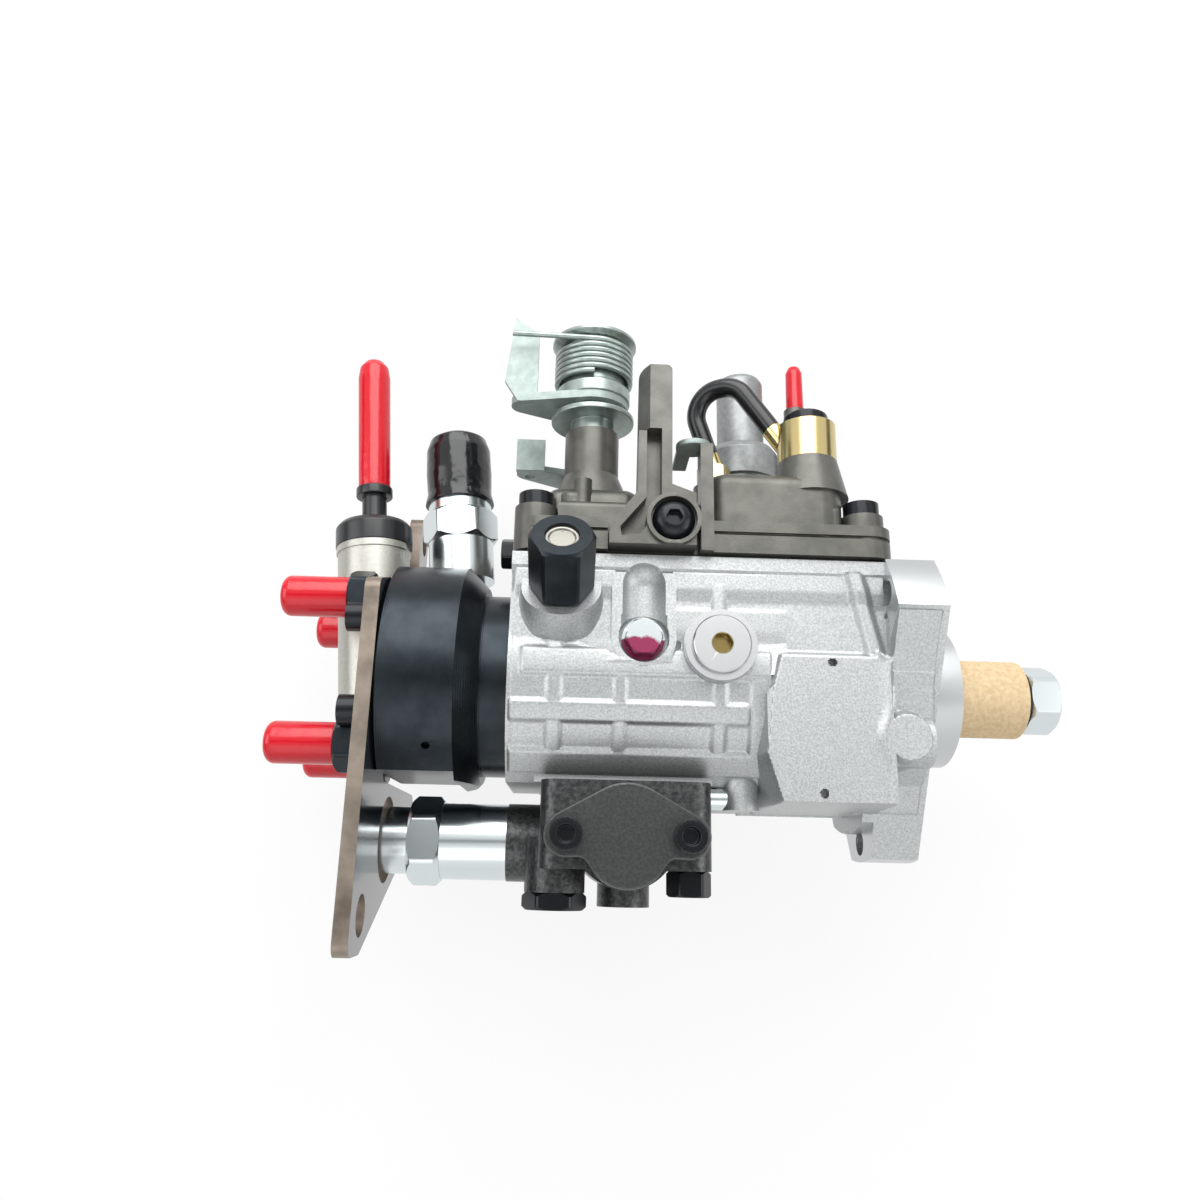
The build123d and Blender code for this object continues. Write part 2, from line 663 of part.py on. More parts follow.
def cover_outside():
    body = rounded_plate(COVER_X0, COVER_X1, TOP_W / 2 + 2, SEAT_Z, 44.2, 8)
    body += rounded_plate(COVER_X0 + 1, COVER_X1 - 1, TOP_W / 2 + 0.6, 44.2, 45.4, 7)
    body += rounded_plate(COVER_X0, COVER_X1, TOP_W / 2 + 2, 45.4, 49, 8)
    right = block(-76, -28, -45, 42, 45, COVER_TOP)
    right = fillet(right.edges().filter_by(Axis.Z), 9)
    body += fillet(right.edges().group_by(Axis.Z)[-1], 5)
    left = block(COVER_X0 + 13.5, -72, -41.5, 40, 45, 57)
    body += fillet(left.edges().group_by(Axis.Z)[-1], 2.6)
    low = block(-40, -29.5, -44, 40, 45, 57) + block(-40, -14, -30, 30, 45, 57)
    low = fillet(low.edges().filter_by(Axis.Z), 2.8)
    body += fillet(low.edges().group_by(Axis.Z)[-1], 2.6)
    for x, y in COVER_BOLTS:
        body += post(7.2, SEAT_Z, 54, x, y)
    return body


def cover_bosses():
    out = Pos(THR_X, THR_Y, 64) * Cone(17.5, 10.0, 18) + post(9.8, 57, BOSS_TOP, THR_X, THR_Y)
    out += Pos(STOP_X, STOP_Y, 59) * Cone(12, 8.5, 12) + post(8.0, 50, 82, STOP_X, STOP_Y)
    out += Pos(BANJO_X, BANJO_Y, 69) * Cone(13.5, 10.3, 14) + post(10.3, 60, BANJO_Z, BANJO_X, BANJO_Y)
    out += post(15.5, 60, 71, CAP_X, CAP_Y) + post(7.5, 60, 72, ELBOW_X, ELBOW_Y)
    out += post(5.5, 60, VENT_TOP - 40, VENT_X, CAP_Y)
    out += post(4.5, 90, VENT_TOP - 20, VENT_X, CAP_Y) + post(2.0, 110, VENT_TOP - 7, VENT_X, CAP_Y)
    out += fillet(post(5.5, 50, 62, -120.5, -33.5).edges().group_by(Axis.Z)[-1], 3)
    out += post(3.2, 50, 66, -117, -36)
    out += block(-77.8, -73.5, -48, -40, SEAT_Z, STOP_PLATE_Z)
    return out


def control_cover():
    body = cover_outside() + cover_bosses()
    # roof over the governor linkage
    body -= block(COVER_X0 + 12.5, -33, -30, 32, SEAT_Z - 1, 51)
    body -= block(-72, -33, -30, 32, 50, COVER_TOP - COVER_WALL)
    body -= block(-108.3, -77.9, -60, -41.5, SEAT_Z - 1, 60)
    for x, y in COVER_BOLTS:
        body -= post(M6, SEAT_Z - 1, 60, x, y)
    body -= post(THR_R + RUN, 45, BOSS_TOP + 1, THR_X, THR_Y)
    body -= post(STOP_R + RUN, 45, 90, STOP_X, STOP_Y)
    body -= bar(SCREW_R, -50, -30, SCREW_X, SCREW_Z)
    body -= post(4.0, 62, BANJO_Z + 1, BANJO_X, BANJO_Y)
    body -= post(4.0, 62, 80, ELBOW_X, ELBOW_Y)
    body -= post(8.0, 62, 80, CAP_X, CAP_Y)
    body -= rod(M6, COVER_X0 - 1, COVER_X0 + 12, END_Y, END_Z)
    return body


def cover_bolt(x, y):
    bolt = post(6.0, 54, 59, x, y) + post(M6, TOP_Z - 4, 54, x, y)
    return bolt - hex_z(5, 56, 60, x, y)


def cover_end_bolt():
    bolt = rod(8.0, COVER_X0 - 2, COVER_X0, END_Y, END_Z)
    bolt += hex_x(10, COVER_X0 - 7, COVER_X0 - 2, END_Y, END_Z)
    return bolt + rod(M6, COVER_X0, COVER_X0 + 11.5, END_Y, END_Z)


def cover_bracket():
    pts = [(-108, 38.8), (-108, 45), (-99, 57), (-98.5, 104)]
    pts += [(-87.5, 104), (-87.5, 60), (-79.5, 57), (-79.5, 38.8)]
    arm = xz_plate(make_face(Polyline(*pts, close=True)), -50, -41.5)
    arm = fillet(arm.edges().filter_by(Axis.Y).group_by(Axis.Z)[-1], 2.0)
    slot = [(-96, 80), (-91, 80), (-91, 52), (-98, 42), (-104, 41.5), (-104.5, 44.5), (-96, 55)]
    arm -= xz_plate(make_face(Polyline(*slot, close=True)), -51, -44)
    wedge = make_face(Polyline((-99, -51), (-94.5, -51), (-99, -43), close=True))
    arm -= extrude(Pos(0, 0, 79) * wedge, 30)
    arm += bar(9.0, -51.5, -41.5, SCREW_X, SCREW_Z) & block(-110, -70, -60, -30, SEAT_Z + 0.8, 90)
    arm -= bar(7.6, -53, -48.5, SCREW_X, SCREW_Z)
    return arm - bar(SCREW_R, -60, -40, SCREW_X, SCREW_Z)


def bracket_screw():
    seat = Pos(SCREW_X, -48.5, SCREW_Z) * Rot(90, 0, 0)
    screw = seat * turned_z([(0, 0), (7, 0), (7, 1.2), (5.2, 3.4), (3.4, 4.2), (0, 4.2)])
    screw += bar(SCREW_R, -48.5, -32, SCREW_X, SCREW_Z)
    return screw - seat * hex_z(5, 1.5, 7.5)


def cover_bolts():
    return group([cover_bolt(x, y) for x, y in COVER_BOLTS] + [cover_end_bolt(), bracket_screw()])


def boost_capsule():
    cap = turned_z([
        (0, 62.5), (8, 62.5), (8, 71), (14.5, 71), (14.5, 80), (13, 80), (13, 84), (14.5, 84),
        (14.5, 95), (12.5, 98), (9.2, 98), (9.2, 127), (8, 129), (0, 129)])
    return Pos(CAP_X, CAP_Y, 0) * cap


STEM = Pos(ELBOW_X, ELBOW_Y, STEM_Z) * Rot(0, -STEM_TILT, 0)
NIPPLE = Pos(BANJO_X, BANJO_Y, NIPPLE_Z) * Rot(0, 0, -13) * Rot(0, -NIPPLE_TILT, 0)


def banjo_ring():
    top = BANJO_Z + BANJO_H
    ring = post(10.3, BANJO_Z, top, BANJO_X, BANJO_Y) - post(4.0, BANJO_Z - 1, top + 1, BANJO_X, BANJO_Y)
    nipple = NIPPLE * (post(TUBE_R, 8, NIPPLE_L + 7) + post(3.6, 8, NIPPLE_L - 0.2))
    return ring + (nipple - post(9.0, 60, top + 20, BANJO_X, BANJO_Y))


def banjo_bolt():
    top = BANJO_Z + BANJO_H
    head = fillet(post(7.8, top, top + 4.6, BANJO_X, BANJO_Y).edges().group_by(Axis.Z)[-1], 1.2)
    return head + post(4.0, 66, top, BANJO_X, BANJO_Y)


def brass_elbow():
    elbow = post(4.0, 63, 72, ELBOW_X, ELBOW_Y) + hex_z(11, 72, STEM_Z, ELBOW_X, ELBOW_Y)
    return elbow + STEM * (post(3.6, -1, 5) + post(TUBE_R, 5, 14))


def vent_hose():
    # straight runs joined by tangent arcs, pushed over both nipples
    rise = (HOSE_TOP - STEM_Z) / cos(radians(STEM_TILT))
    reach = (HOSE_TOP - NIPPLE_Z) / cos(radians(NIPPLE_TILT))
    route = [(STEM * Pos(0, 0, 5.2)).position, (STEM * Pos(0, 0, rise)).position,
             (NIPPLE * Pos(0, 0, reach)).position, (NIPPLE * Pos(0, 0, NIPPLE_L)).position]
    line = FilletPolyline(*route, radius=HOSE_BEND)
    hose = sweep(Plane(line @ 0, z_dir=line % 0) * Circle(HOSE_R), line)
    return hose - STEM * post(TUBE_R, 0, 14) - NIPPLE * post(TUBE_R, 8, NIPPLE_L + 7)


def vent_cap():
    cap = turned_z([(0, -20), (3.5, -20), (3.3, -3), (2.2, -0.5), (0, 0)])
    return Pos(VENT_X, CAP_Y, VENT_TOP) * cap - post(2.0, 110, VENT_TOP - 7, VENT_X, CAP_Y)


def idle_stop_plate():
    eye = extrude(Pos(-79.5, -42, STOP_PLATE_Z) * Circle(6), 2)
    return eye + block(-85, -80, -42, -24, STOP_PLATE_Z, STOP_PLATE_Z + 2)


# Throttle shaft, lever and return spring
def throttle_shaft():
    shaft = post(THR_R, 44, 128, THR_X, THR_Y)
    return shaft + block(THR_X - 4, THR_X + 8, THR_Y - 4, THR_Y + 4, 40, 44)


def throttle_collar():
    foot = BOSS_TOP + 0.3
    ring = turned_z([
        (THR_R, foot), (7.8, foot), (7.8, 95), (15.2, 95), (15.2, 97), (10, 97),
        (10, LEVER_Z), (THR_R, LEVER_Z)])
    return Pos(THR_X, THR_Y, 0) * ring


def throttle_lever():
    base = make_hull((Pos(THR_X, THR_Y) * Circle(13)).edges() + (Pos(-139, -23) * Circle(5)).edges())
    lever = extrude(Pos(0, 0, LEVER_Z) * base, LEVER_T) - post(THR_R, 90, 110, THR_X, THR_Y)
    pts = [(-141.5, LEVER_Z), (-146.5, 108), (-143.5, 134), (-134.5, 127), (-134.5, LEVER_Z)]
    return lever + xz_plate(make_face(Polyline(*pts, close=True)), -28, -25.6)


def spring_seat():
    foot = LEVER_Z + LEVER_T
    ring = turned_z([
        (THR_R, foot), (13.6, foot), (13.6, 107.5), (11.8, 107.5), (11.8, SPRING_Z), (THR_R, SPRING_Z)])
    return Pos(THR_X, THR_Y, 0) * ring


def throttle_spring():
    # close coils, with a leg that pulls on the lever's tab
    return Pos(THR_X, THR_Y, SPRING_Z + 1.3) * Rot(0, 0, -90) * coil_with_leg(SPRING_R, 1.0, 6, 13.0, 30)


def spring_cup():
    cup = turned_z([
        (THR_R, SPRING_Z), (11.6, SPRING_Z), (11.6, 124.6), (13.6, 125), (15.7, 126.6), (15.7, 127.6),
        (12.5, 127.6), (9.5, 126), (THR_R, 126)])
    return Pos(THR_X, THR_Y, 0) * cup


def stop_shaft():
    finger = block(STOP_X - 3, STOP_X + 3, STOP_Y - 3, STOP_Y + 9, 40, 44)
    return post(STOP_R, 44, STOP_Z + 10, STOP_X, STOP_Y) + finger


def stop_lever():
    tip = Pos(STOP_X - 20, STOP_Y - 9) * Circle(5)
    base = make_hull((Pos(STOP_X, STOP_Y) * Circle(8)).edges() + tip.edges())
    lever = extrude(Pos(0, 0, STOP_Z) * base, 2.5) - post(STOP_R, 80, 100, STOP_X, STOP_Y)
    lever += block(STOP_X - 25, STOP_X - 14, STOP_Y - 14, STOP_Y - 11.5, STOP_Z, STOP_Z + 13)
    return lever - post(2.0, 80, 100, STOP_X - 20, STOP_Y - 7)


# Governor linkage under the cover
def governor_arm():
    # fork that straddles the sleeve and bears on it at the height of the shaft
    arm = block(PIVOT_X - 1.5, PIVOT_X + 1.5, -14, 14, 0, 52)
    arm -= rod(12.5, PIVOT_X - 4, PIVOT_X + 4) + block(PIVOT_X - 4, PIVOT_X + 4, -11, 11, 0, 16)
    arm += bar(3.5, -14, 14, PIVOT_X, PIVOT_Z) + bar(PIVOT_R, -27, 27, PIVOT_X, PIVOT_Z)
    return arm - block(PIVOT_X - 4, PIVOT_X + 4, LINK_Y - 2.5, LINK_Y + 2.5, LINK_Z - 3, 60)


def governor_link():
    link = rod(1.5, VALVE_X - 1, PIVOT_X + 4, LINK_Y, LINK_Z)
    return link + rod(3.2, PIVOT_X + 2.2, PIVOT_X + 4, LINK_Y, LINK_Z)


def metering_valve():
    valve = post(VALVE_R, ROTOR_R + 5, 43, VALVE_X, 0)
    return valve + block(VALVE_X - 3, VALVE_X + 3, -3, LINK_Y + 3, 43, LINK_Z - 1.6)


def governor_spring():
    spring = coil(4.0, 0.7, 7, 36)
    return Pos(THR_X + 9, -12, 45.5) * Rot(0, 90, 0) * spring


# Small pieces on the near side of the housing
def seal_plug():
    plug = HEX_FOOT * (hex_z(19, 8, 30) + post(6, -4, 8))
    return plug - HEX_FOOT * post(5.5, 27, 31)


def seal_insert():
    return HEX_FOOT * (post(5.5, 27, 29) - post(4.2, 28, 30))


def lock_bolt():
    face = -LOCK_Y - 2
    bolt = bar(7.0, face, -LOCK_Y, LOCK_X, LOCK_Z) + bar(LOCK_R, -LOCK_Y, -LOCK_Y + 6.5, LOCK_X, LOCK_Z)
    return bolt + Pos(LOCK_X, face, LOCK_Z) * Rot(90, 0, 0) * hex_z(11, 0, 5.5)


def timing_washer():
    ring = bar(11.6, -TIMING_Y - WASHER_T, -TIMING_Y, TIMING_X, TIMING_Z)
    return ring - bar(TIMING_R, -60, -30, TIMING_X, TIMING_Z)


def timing_plug():
    face = -TIMING_Y - WASHER_T
    head = bar(9.4, face - 2.2, face, TIMING_X, TIMING_Z)
    plug = chamfer(head.edges().group_by(Axis.Y)[0], 0.5) + bar(TIMING_R, face, -33, TIMING_X, TIMING_Z)
    return plug - Pos(TIMING_X, face + 0.6, TIMING_Z) * Rot(90, 0, 0) * hex_z(6, 0, 4)


def drain_stub():
    return rod(DRAIN_R, ADV_X + ADV_W / 2 + FREE, DRAIN_END, DRAIN_Y, DRAIN_Z)


PIECES = {
    "main_housing": main_housing,
    "hydraulic_head": hydraulic_head,
    "support_plate": support_plate,
    "lifting_plate": lifting_plate,
    "plate_screws": lambda: group([socket_screw_x(y, z) for y, z in PLATE_SCREWS]),
    "outlet_unions": lambda: group([outlet_union(y, z) for y, z in OUTLETS]),
    "outlet_caps": lambda: group([outlet_cap(y, z) for y, z in OUTLETS]),
    "solenoid_body": solenoid_body,
    "solenoid_core": solenoid_core,
    "solenoid_cap": solenoid_cap,
    "solenoid_terminal_cap": solenoid_terminal_cap,
    "return_union": return_union,
    "return_union_cap": return_union_cap,
    "inlet_union": inlet_union,
    "advance_housing": advance_housing,
    "advance_cover": advance_cover,
    "advance_screws": lambda: group([advance_screw(x) for x in ADV_SCREWS]),
    "advance_plug": advance_plug,
    "advance_sensor": advance_sensor,
    "advance_piston": advance_piston,
    "advance_spring": advance_spring,
    "drive_shaft": drive_shaft,
    "paper_wrap": paper_wrap,
    "nut_washer": nut_washer,
    "shaft_nut": shaft_nut,
    "shaft_seal": shaft_seal,
    "shaft_bush": shaft_bush,
    "distributor_rotor": distributor_rotor,
    "plungers_and_rollers": lambda: group([plungers(), rollers()]),
    "cam_ring": cam_ring,
    "governor_cage": governor_cage,
    "governor_weight_upper": lambda: governor_weight(1),
    "governor_weight_lower": lambda: governor_weight(-1),
    "thrust_sleeve": thrust_sleeve,
    "cover_gasket": cover_gasket,
    "control_cover": control_cover,
    "cover_bolts": cover_bolts,
    "cover_bracket": cover_bracket,
    "boost_capsule": boost_capsule,
    "banjo_ring": banjo_ring,
    "banjo_bolt": banjo_bolt,
    "brass_elbow": brass_elbow,
    "vent_hose": vent_hose,
    "vent_cap": vent_cap,
    "idle_stop_plate": idle_stop_plate,
    "throttle_shaft": throttle_shaft,
    "throttle_washers": lambda: group([throttle_collar(), spring_seat()]),
    "throttle_lever": throttle_lever,
    "throttle_spring": throttle_spring,
    "spring_cup": spring_cup,
    "stop_lever": lambda: group([stop_shaft(), stop_lever()]),
    "governor_arm": governor_arm,
    "governor_link": governor_link,
    "governor_spring": governor_spring,
    "metering_valve": metering_valve,
    "seal_plug": seal_plug,
    "seal_insert": seal_insert,
    "lock_bolt": lock_bolt,
    "timing_plug": lambda: group([timing_plug(), timing_washer()]),
    "drain_stub": drain_stub,
}

for name, make in PIECES.items():
    save(name, make())
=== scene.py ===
import json
import math

import bmesh
import bpy
from mathutils import Matrix, Vector

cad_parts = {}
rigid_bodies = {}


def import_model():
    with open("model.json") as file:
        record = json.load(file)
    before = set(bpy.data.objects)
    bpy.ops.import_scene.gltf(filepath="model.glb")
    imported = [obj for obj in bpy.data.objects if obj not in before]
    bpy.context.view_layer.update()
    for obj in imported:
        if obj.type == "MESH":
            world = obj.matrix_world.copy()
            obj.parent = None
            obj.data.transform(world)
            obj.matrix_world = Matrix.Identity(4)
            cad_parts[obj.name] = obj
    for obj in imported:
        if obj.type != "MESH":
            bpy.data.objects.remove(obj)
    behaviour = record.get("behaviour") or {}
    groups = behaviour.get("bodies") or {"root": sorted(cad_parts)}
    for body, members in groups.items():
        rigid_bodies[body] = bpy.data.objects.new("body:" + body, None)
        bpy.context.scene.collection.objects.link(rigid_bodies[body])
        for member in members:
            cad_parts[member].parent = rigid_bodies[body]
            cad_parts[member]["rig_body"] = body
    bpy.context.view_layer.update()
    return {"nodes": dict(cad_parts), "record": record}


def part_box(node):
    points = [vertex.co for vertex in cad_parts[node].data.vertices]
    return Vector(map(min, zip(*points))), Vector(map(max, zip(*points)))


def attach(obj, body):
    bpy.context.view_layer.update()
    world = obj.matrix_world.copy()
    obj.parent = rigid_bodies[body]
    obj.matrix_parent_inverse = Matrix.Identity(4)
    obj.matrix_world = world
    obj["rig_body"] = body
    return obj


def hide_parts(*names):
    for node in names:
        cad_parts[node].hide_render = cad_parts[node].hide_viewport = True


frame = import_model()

mm = 0.001
print("frame loaded:", len(frame["nodes"]), "pieces")


def colour(hexValue):
    # sRGB hex to the linear RGBA that the sockets take
    parts = [int(hexValue[i:i + 2], 16) / 255 for i in (1, 3, 5)]
    return [c / 12.92 if c <= 0.04045 else ((c + 0.055) / 1.055) ** 2.4 for c in parts] + [1.0]


def addNode(tree, kind, settings=None, values=None, links=None):
    node = tree.nodes.new(kind)
    for key, value in (settings or {}).items():
        setattr(node, key, value)
    for key, value in (values or {}).items():
        node.inputs[key].default_value = value
    for key, socket in (links or {}).items():
        tree.links.new(socket, node.inputs[key])
    return node


def startMaterial(name, values):
    mat = bpy.data.materials.new(name)
    mat.use_nodes = True
    tree = mat.node_tree
    shader = tree.nodes["Principled BSDF"]
    for key, value in values.items():
        shader.inputs[key].default_value = value
    place = addNode(tree, "ShaderNodeTexCoord").outputs["Object"]
    return mat, tree, shader, place


def grainBump(tree, shader, place, size, height, detail=4.0):
    # size and height in mm: the grain's width and its depth
    noise = addNode(tree, "ShaderNodeTexNoise", values={"Scale": 1 / (size * mm), "Detail": detail,
                    "Roughness": 0.6}, links={"Vector": place})
    bump = addNode(tree, "ShaderNodeBump", values={"Strength": 1.0, "Distance": height * mm},
                   links={"Height": noise.outputs["Fac"]})
    tree.links.new(bump.outputs["Normal"], shader.inputs["Normal"])


def mottle(tree, shader, place, size, colours, low=0.35, high=0.65):
    # two tones in patches of about the given size in mm
    noise = addNode(tree, "ShaderNodeTexNoise", values={"Scale": 1 / (size * mm), "Detail": 5.0},
                    links={"Vector": place})
    ramp = addNode(tree, "ShaderNodeValToRGB", links={"Fac": noise.outputs["Fac"]})
    ramp.color_ramp.elements[0].position = low
    ramp.color_ramp.elements[1].position = high
    ramp.color_ramp.elements[0].color = colour(colours[0])
    ramp.color_ramp.elements[1].color = colour(colours[1])
    tree.links.new(ramp.outputs["Color"], shader.inputs["Base Color"])


# die-cast aluminium, shot-blasted: bright, sparkling grain with no clear reflection
def blastedAluminium():
    mat, tree, shader, place = startMaterial("blastedAluminium", {"Metallic": 0.85, "Roughness": 0.44})
    mottle(tree, shader, place, 0.6, ("#A3A6A6", "#BFC2C2"))
    grainBump(tree, shader, place, 0.6, 0.07)
    return mat


# turned or milled aluminium: smooth, pale and bright
def turnedAluminium():
    mat, tree, shader, place = startMaterial("turnedAluminium", {"Metallic": 1.0, "Roughness": 0.30,
                                             "Base Color": colour("#C1C4C5")})
    grainBump(tree, shader, place, 0.25, 0.006)
    return mat


# aluminium casting with a brown-grey chemical coat: satin, a little metallic
def coatedCasting():
    mat, tree, shader, place = startMaterial("coatedCasting", {"Metallic": 0.6, "Roughness": 0.36})
    mottle(tree, shader, place, 7.0, ("#575752", "#666560"))
    grainBump(tree, shader, place, 0.7, 0.05)
    return mat


# the tool's feed marks on the turned head, drawn coarser than real so that they show: pitch and depth in mm;
# a wave texture of scale 1 repeats every 0.314 units
feedMarks = {"pitch": 0.7, "depth": 0.02, "repeat": 0.314}


# steel blackened by hot oxide after turning: dark, half gloss
def blackenedSteel():
    mat, tree, shader, place = startMaterial("blackenedSteel", {"Metallic": 0.8, "Roughness": 0.30})
    mottle(tree, shader, place, 9.0, ("#22282D", "#2E3439"))
    scale = feedMarks["repeat"] / (feedMarks["pitch"] * mm)
    feed = addNode(tree, "ShaderNodeTexWave", {"bands_direction": "X"}, {"Scale": scale, "Distortion": 1.2,
                   "Detail": 2.0, "Detail Scale": 0.6}, {"Vector": place})
    bump = addNode(tree, "ShaderNodeBump", values={"Strength": 0.6, "Distance": feedMarks["depth"] * mm},
                   links={"Height": feed.outputs["Fac"]})
    tree.links.new(bump.outputs["Normal"], shader.inputs["Normal"])
    return mat


# laser-cut plate, blackened and oiled: near mirror on its face
def oiledBlackPlate():
    return startMaterial("oiledBlackPlate", {"Metallic": 0.3, "Roughness": 0.20,
                         "Base Color": colour("#171A21"), "Coat Weight": 0.4,
                         "Coat Roughness": 0.08})[0]


# the same plate where the laser cut it: bare oxide, tan to brown
def laserCutEdge():
    mat, tree, shader, place = startMaterial("laserCutEdge", {"Metallic": 0.55, "Roughness": 0.36})
    mottle(tree, shader, place, 14.0, ("#5F554B", "#978B7F"), low=0.3, high=0.6)
    grainBump(tree, shader, place, 0.9, 0.04)
    return mat


# black oxide on small screws and nuts
def blackScrewSteel():
    return startMaterial("blackScrewSteel", {"Metallic": 0.5, "Roughness": 0.25,
                         "Base Color": colour("#1B1D21")})[0]


# bright zinc plate: bluish white mirror with a faint haze
def brightZinc():
    mat, tree, shader, place = startMaterial("brightZinc", {"Metallic": 1.0, "Roughness": 0.23,
                                             "Base Color": colour("#D3DADC")})
    grainBump(tree, shader, place, 1.6, 0.01)
    return mat


# zinc plate with a clear passivation, a shade green: dull on pressed sheet, brighter on turned pieces and wire
def passivatedZinc(name, metallic, roughness):
    mat, tree, shader, place = startMaterial(name, {"Metallic": metallic, "Roughness": roughness})
    mottle(tree, shader, place, 3.0, ("#95A19D", "#A6B1AD"))
    grainBump(tree, shader, place, 0.5, 0.012)
    return mat


# pressed aluminium capsule: even satin grey
def satinAluminium():
    mat, tree, shader, place = startMaterial("satinAluminium", {"Metallic": 0.75, "Roughness": 0.45})
    mottle(tree, shader, place, 2.0, ("#8F9292", "#9DA0A0"))
    grainBump(tree, shader, place, 0.4, 0.012)
    return mat


# key socket of the timing plug, its brass darkened as painted shade of the shallow recess: the radius in mm
# that the ramp spans and the part of it where the tone turns
plugSocket = {"reach": 12.0, "edge": (0.275, 0.31), "brass": "#8C7B4E", "nickel": "#CBCDCE"}


# nickel plug whose key socket shows the brass under the plate, darkened as painted shade for the socket's depth
def plugWithPaintedSocketShade():
    mat, tree, shader, place = startMaterial("plugWithPaintedSocketShade", {"Metallic": 1.0, "Roughness": 0.24})
    low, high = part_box("timing_plug")
    shift = addNode(tree, "ShaderNodeVectorMath", {"operation": "SUBTRACT"}, {1: (low + high) / 2}, {0: place})
    flat = addNode(tree, "ShaderNodeVectorMath", {"operation": "MULTIPLY"}, {1: (1, 0, 1)},
                   {0: shift.outputs[0]})
    reach = addNode(tree, "ShaderNodeVectorMath", {"operation": "LENGTH"}, links={0: flat.outputs[0]})
    share = addNode(tree, "ShaderNodeMapRange", values={"From Max": plugSocket["reach"] * mm},
                    links={"Value": reach.outputs["Value"]})
    # the dark brass in the middle is partly the brass under the plate and partly painted shade of the socket
    # recess
    ramp = addNode(tree, "ShaderNodeValToRGB", links={"Fac": share.outputs[0]})
    for stop, at, tone in zip(ramp.color_ramp.elements, plugSocket["edge"], ("brass", "nickel")):
        stop.position = at
        stop.color = colour(plugSocket[tone])
    tree.links.new(ramp.outputs["Color"], shader.inputs["Base Color"])
    return mat


# zinc die casting with a satin grey-beige finish
def satinZinc():
    mat, tree, shader, place = startMaterial("satinZinc", {"Metallic": 0.75, "Roughness": 0.38})
    mottle(tree, shader, place, 1.2, ("#B3B3AB", "#BCBCB4"))
    grainBump(tree, shader, place, 0.5, 0.03)
    return mat


# dip-moulded vinyl in red: wet gloss
def redVinyl():
    mat, tree, shader, place = startMaterial("redVinyl", {"Roughness": 0.20, "IOR": 1.52,
                                             "Base Color": colour("#D2041F"), "Subsurface Weight": 0.08,
                                             "Subsurface Radius": [0.004, 0.001, 0.0008]})
    grainBump(tree, shader, place, 4.0, 0.12, detail=1.0)
    return mat


# dip-moulded vinyl in black
def blackVinyl():
    mat, tree, shader, place = startMaterial("blackVinyl", {"Roughness": 0.15, "IOR": 1.52,
                                             "Base Color": colour("#0E1013")})
    grainBump(tree, shader, place, 5.0, 0.3, detail=1.0)
    return mat


# moulded black nylon
def blackNylon():
    return startMaterial("blackNylon", {"Roughness": 0.30, "IOR": 1.53,
                         "Base Color": colour("#15171A")})[0]


# sand-cast iron, oiled: dark with a coarse grain
def oiledIron():
    mat, tree, shader, place = startMaterial("oiledIron", {"Metallic": 0.65, "Roughness": 0.31})
    mottle(tree, shader, place, 1.4, ("#343536", "#575858"))
    grainBump(tree, shader, place, 1.1, 0.16)
    return mat


# sintered steel cover: dark, fine specks, half gloss
def darkSinter():
    mat, tree, shader, place = startMaterial("darkSinter", {"Metallic": 0.7, "Roughness": 0.34})
    mottle(tree, shader, place, 0.9, ("#434444", "#515252"))
    grainBump(tree, shader, place, 0.8, 0.05)
    return mat


# turned brass
def turnedBrass():
    mat, tree, shader, place = startMaterial("turnedBrass", {"Metallic": 1.0, "Roughness": 0.20,
                                             "Base Color": colour("#CDBB86")})
    grainBump(tree, shader, place, 0.4, 0.004)
    return mat


# extruded nitrile hose: black, soft gloss
def nitrileHose():
    return startMaterial("nitrileHose", {"Roughness": 0.26, "IOR": 1.52,
                         "Base Color": colour("#121316")})[0]


# brown kraft paper roll: matt with fine fibres
def kraftPaper():
    mat, tree, shader, place = startMaterial("kraftPaper", {"Roughness": 0.85, "IOR": 1.45})
    mottle(tree, shader, place, 1.6, ("#D3B78E", "#E3CBA4"))
    grainBump(tree, shader, place, 0.8, 0.03)
    return mat


# ground steel of the inner working pieces
def groundSteel():
    return startMaterial("groundSteel", {"Metallic": 1.0, "Roughness": 0.28,
                         "Base Color": colour("#B4B6B8")})[0]


# oil-filled sintered bronze
def sinterBronze():
    return startMaterial("sinterBronze", {"Metallic": 1.0, "Roughness": 0.42,
                         "Base Color": colour("#A98552")})[0]


# compressed fibre gasket
def gasketSheet():
    return startMaterial("gasketSheet", {"Roughness": 0.8, "IOR": 1.45,
                         "Base Color": colour("#2B2A28")})[0]


# sealing paint on the lock bolt, in mm: how wavy its border is and the heights between which it fades in
boltPaint = {"wave": 4.0, "swing": -7.0, "edge": (-4.6, -3.8), "zinc": "#D3DADC", "paint": "#8E2450",
             "metallic": (0.95, 0.0)}


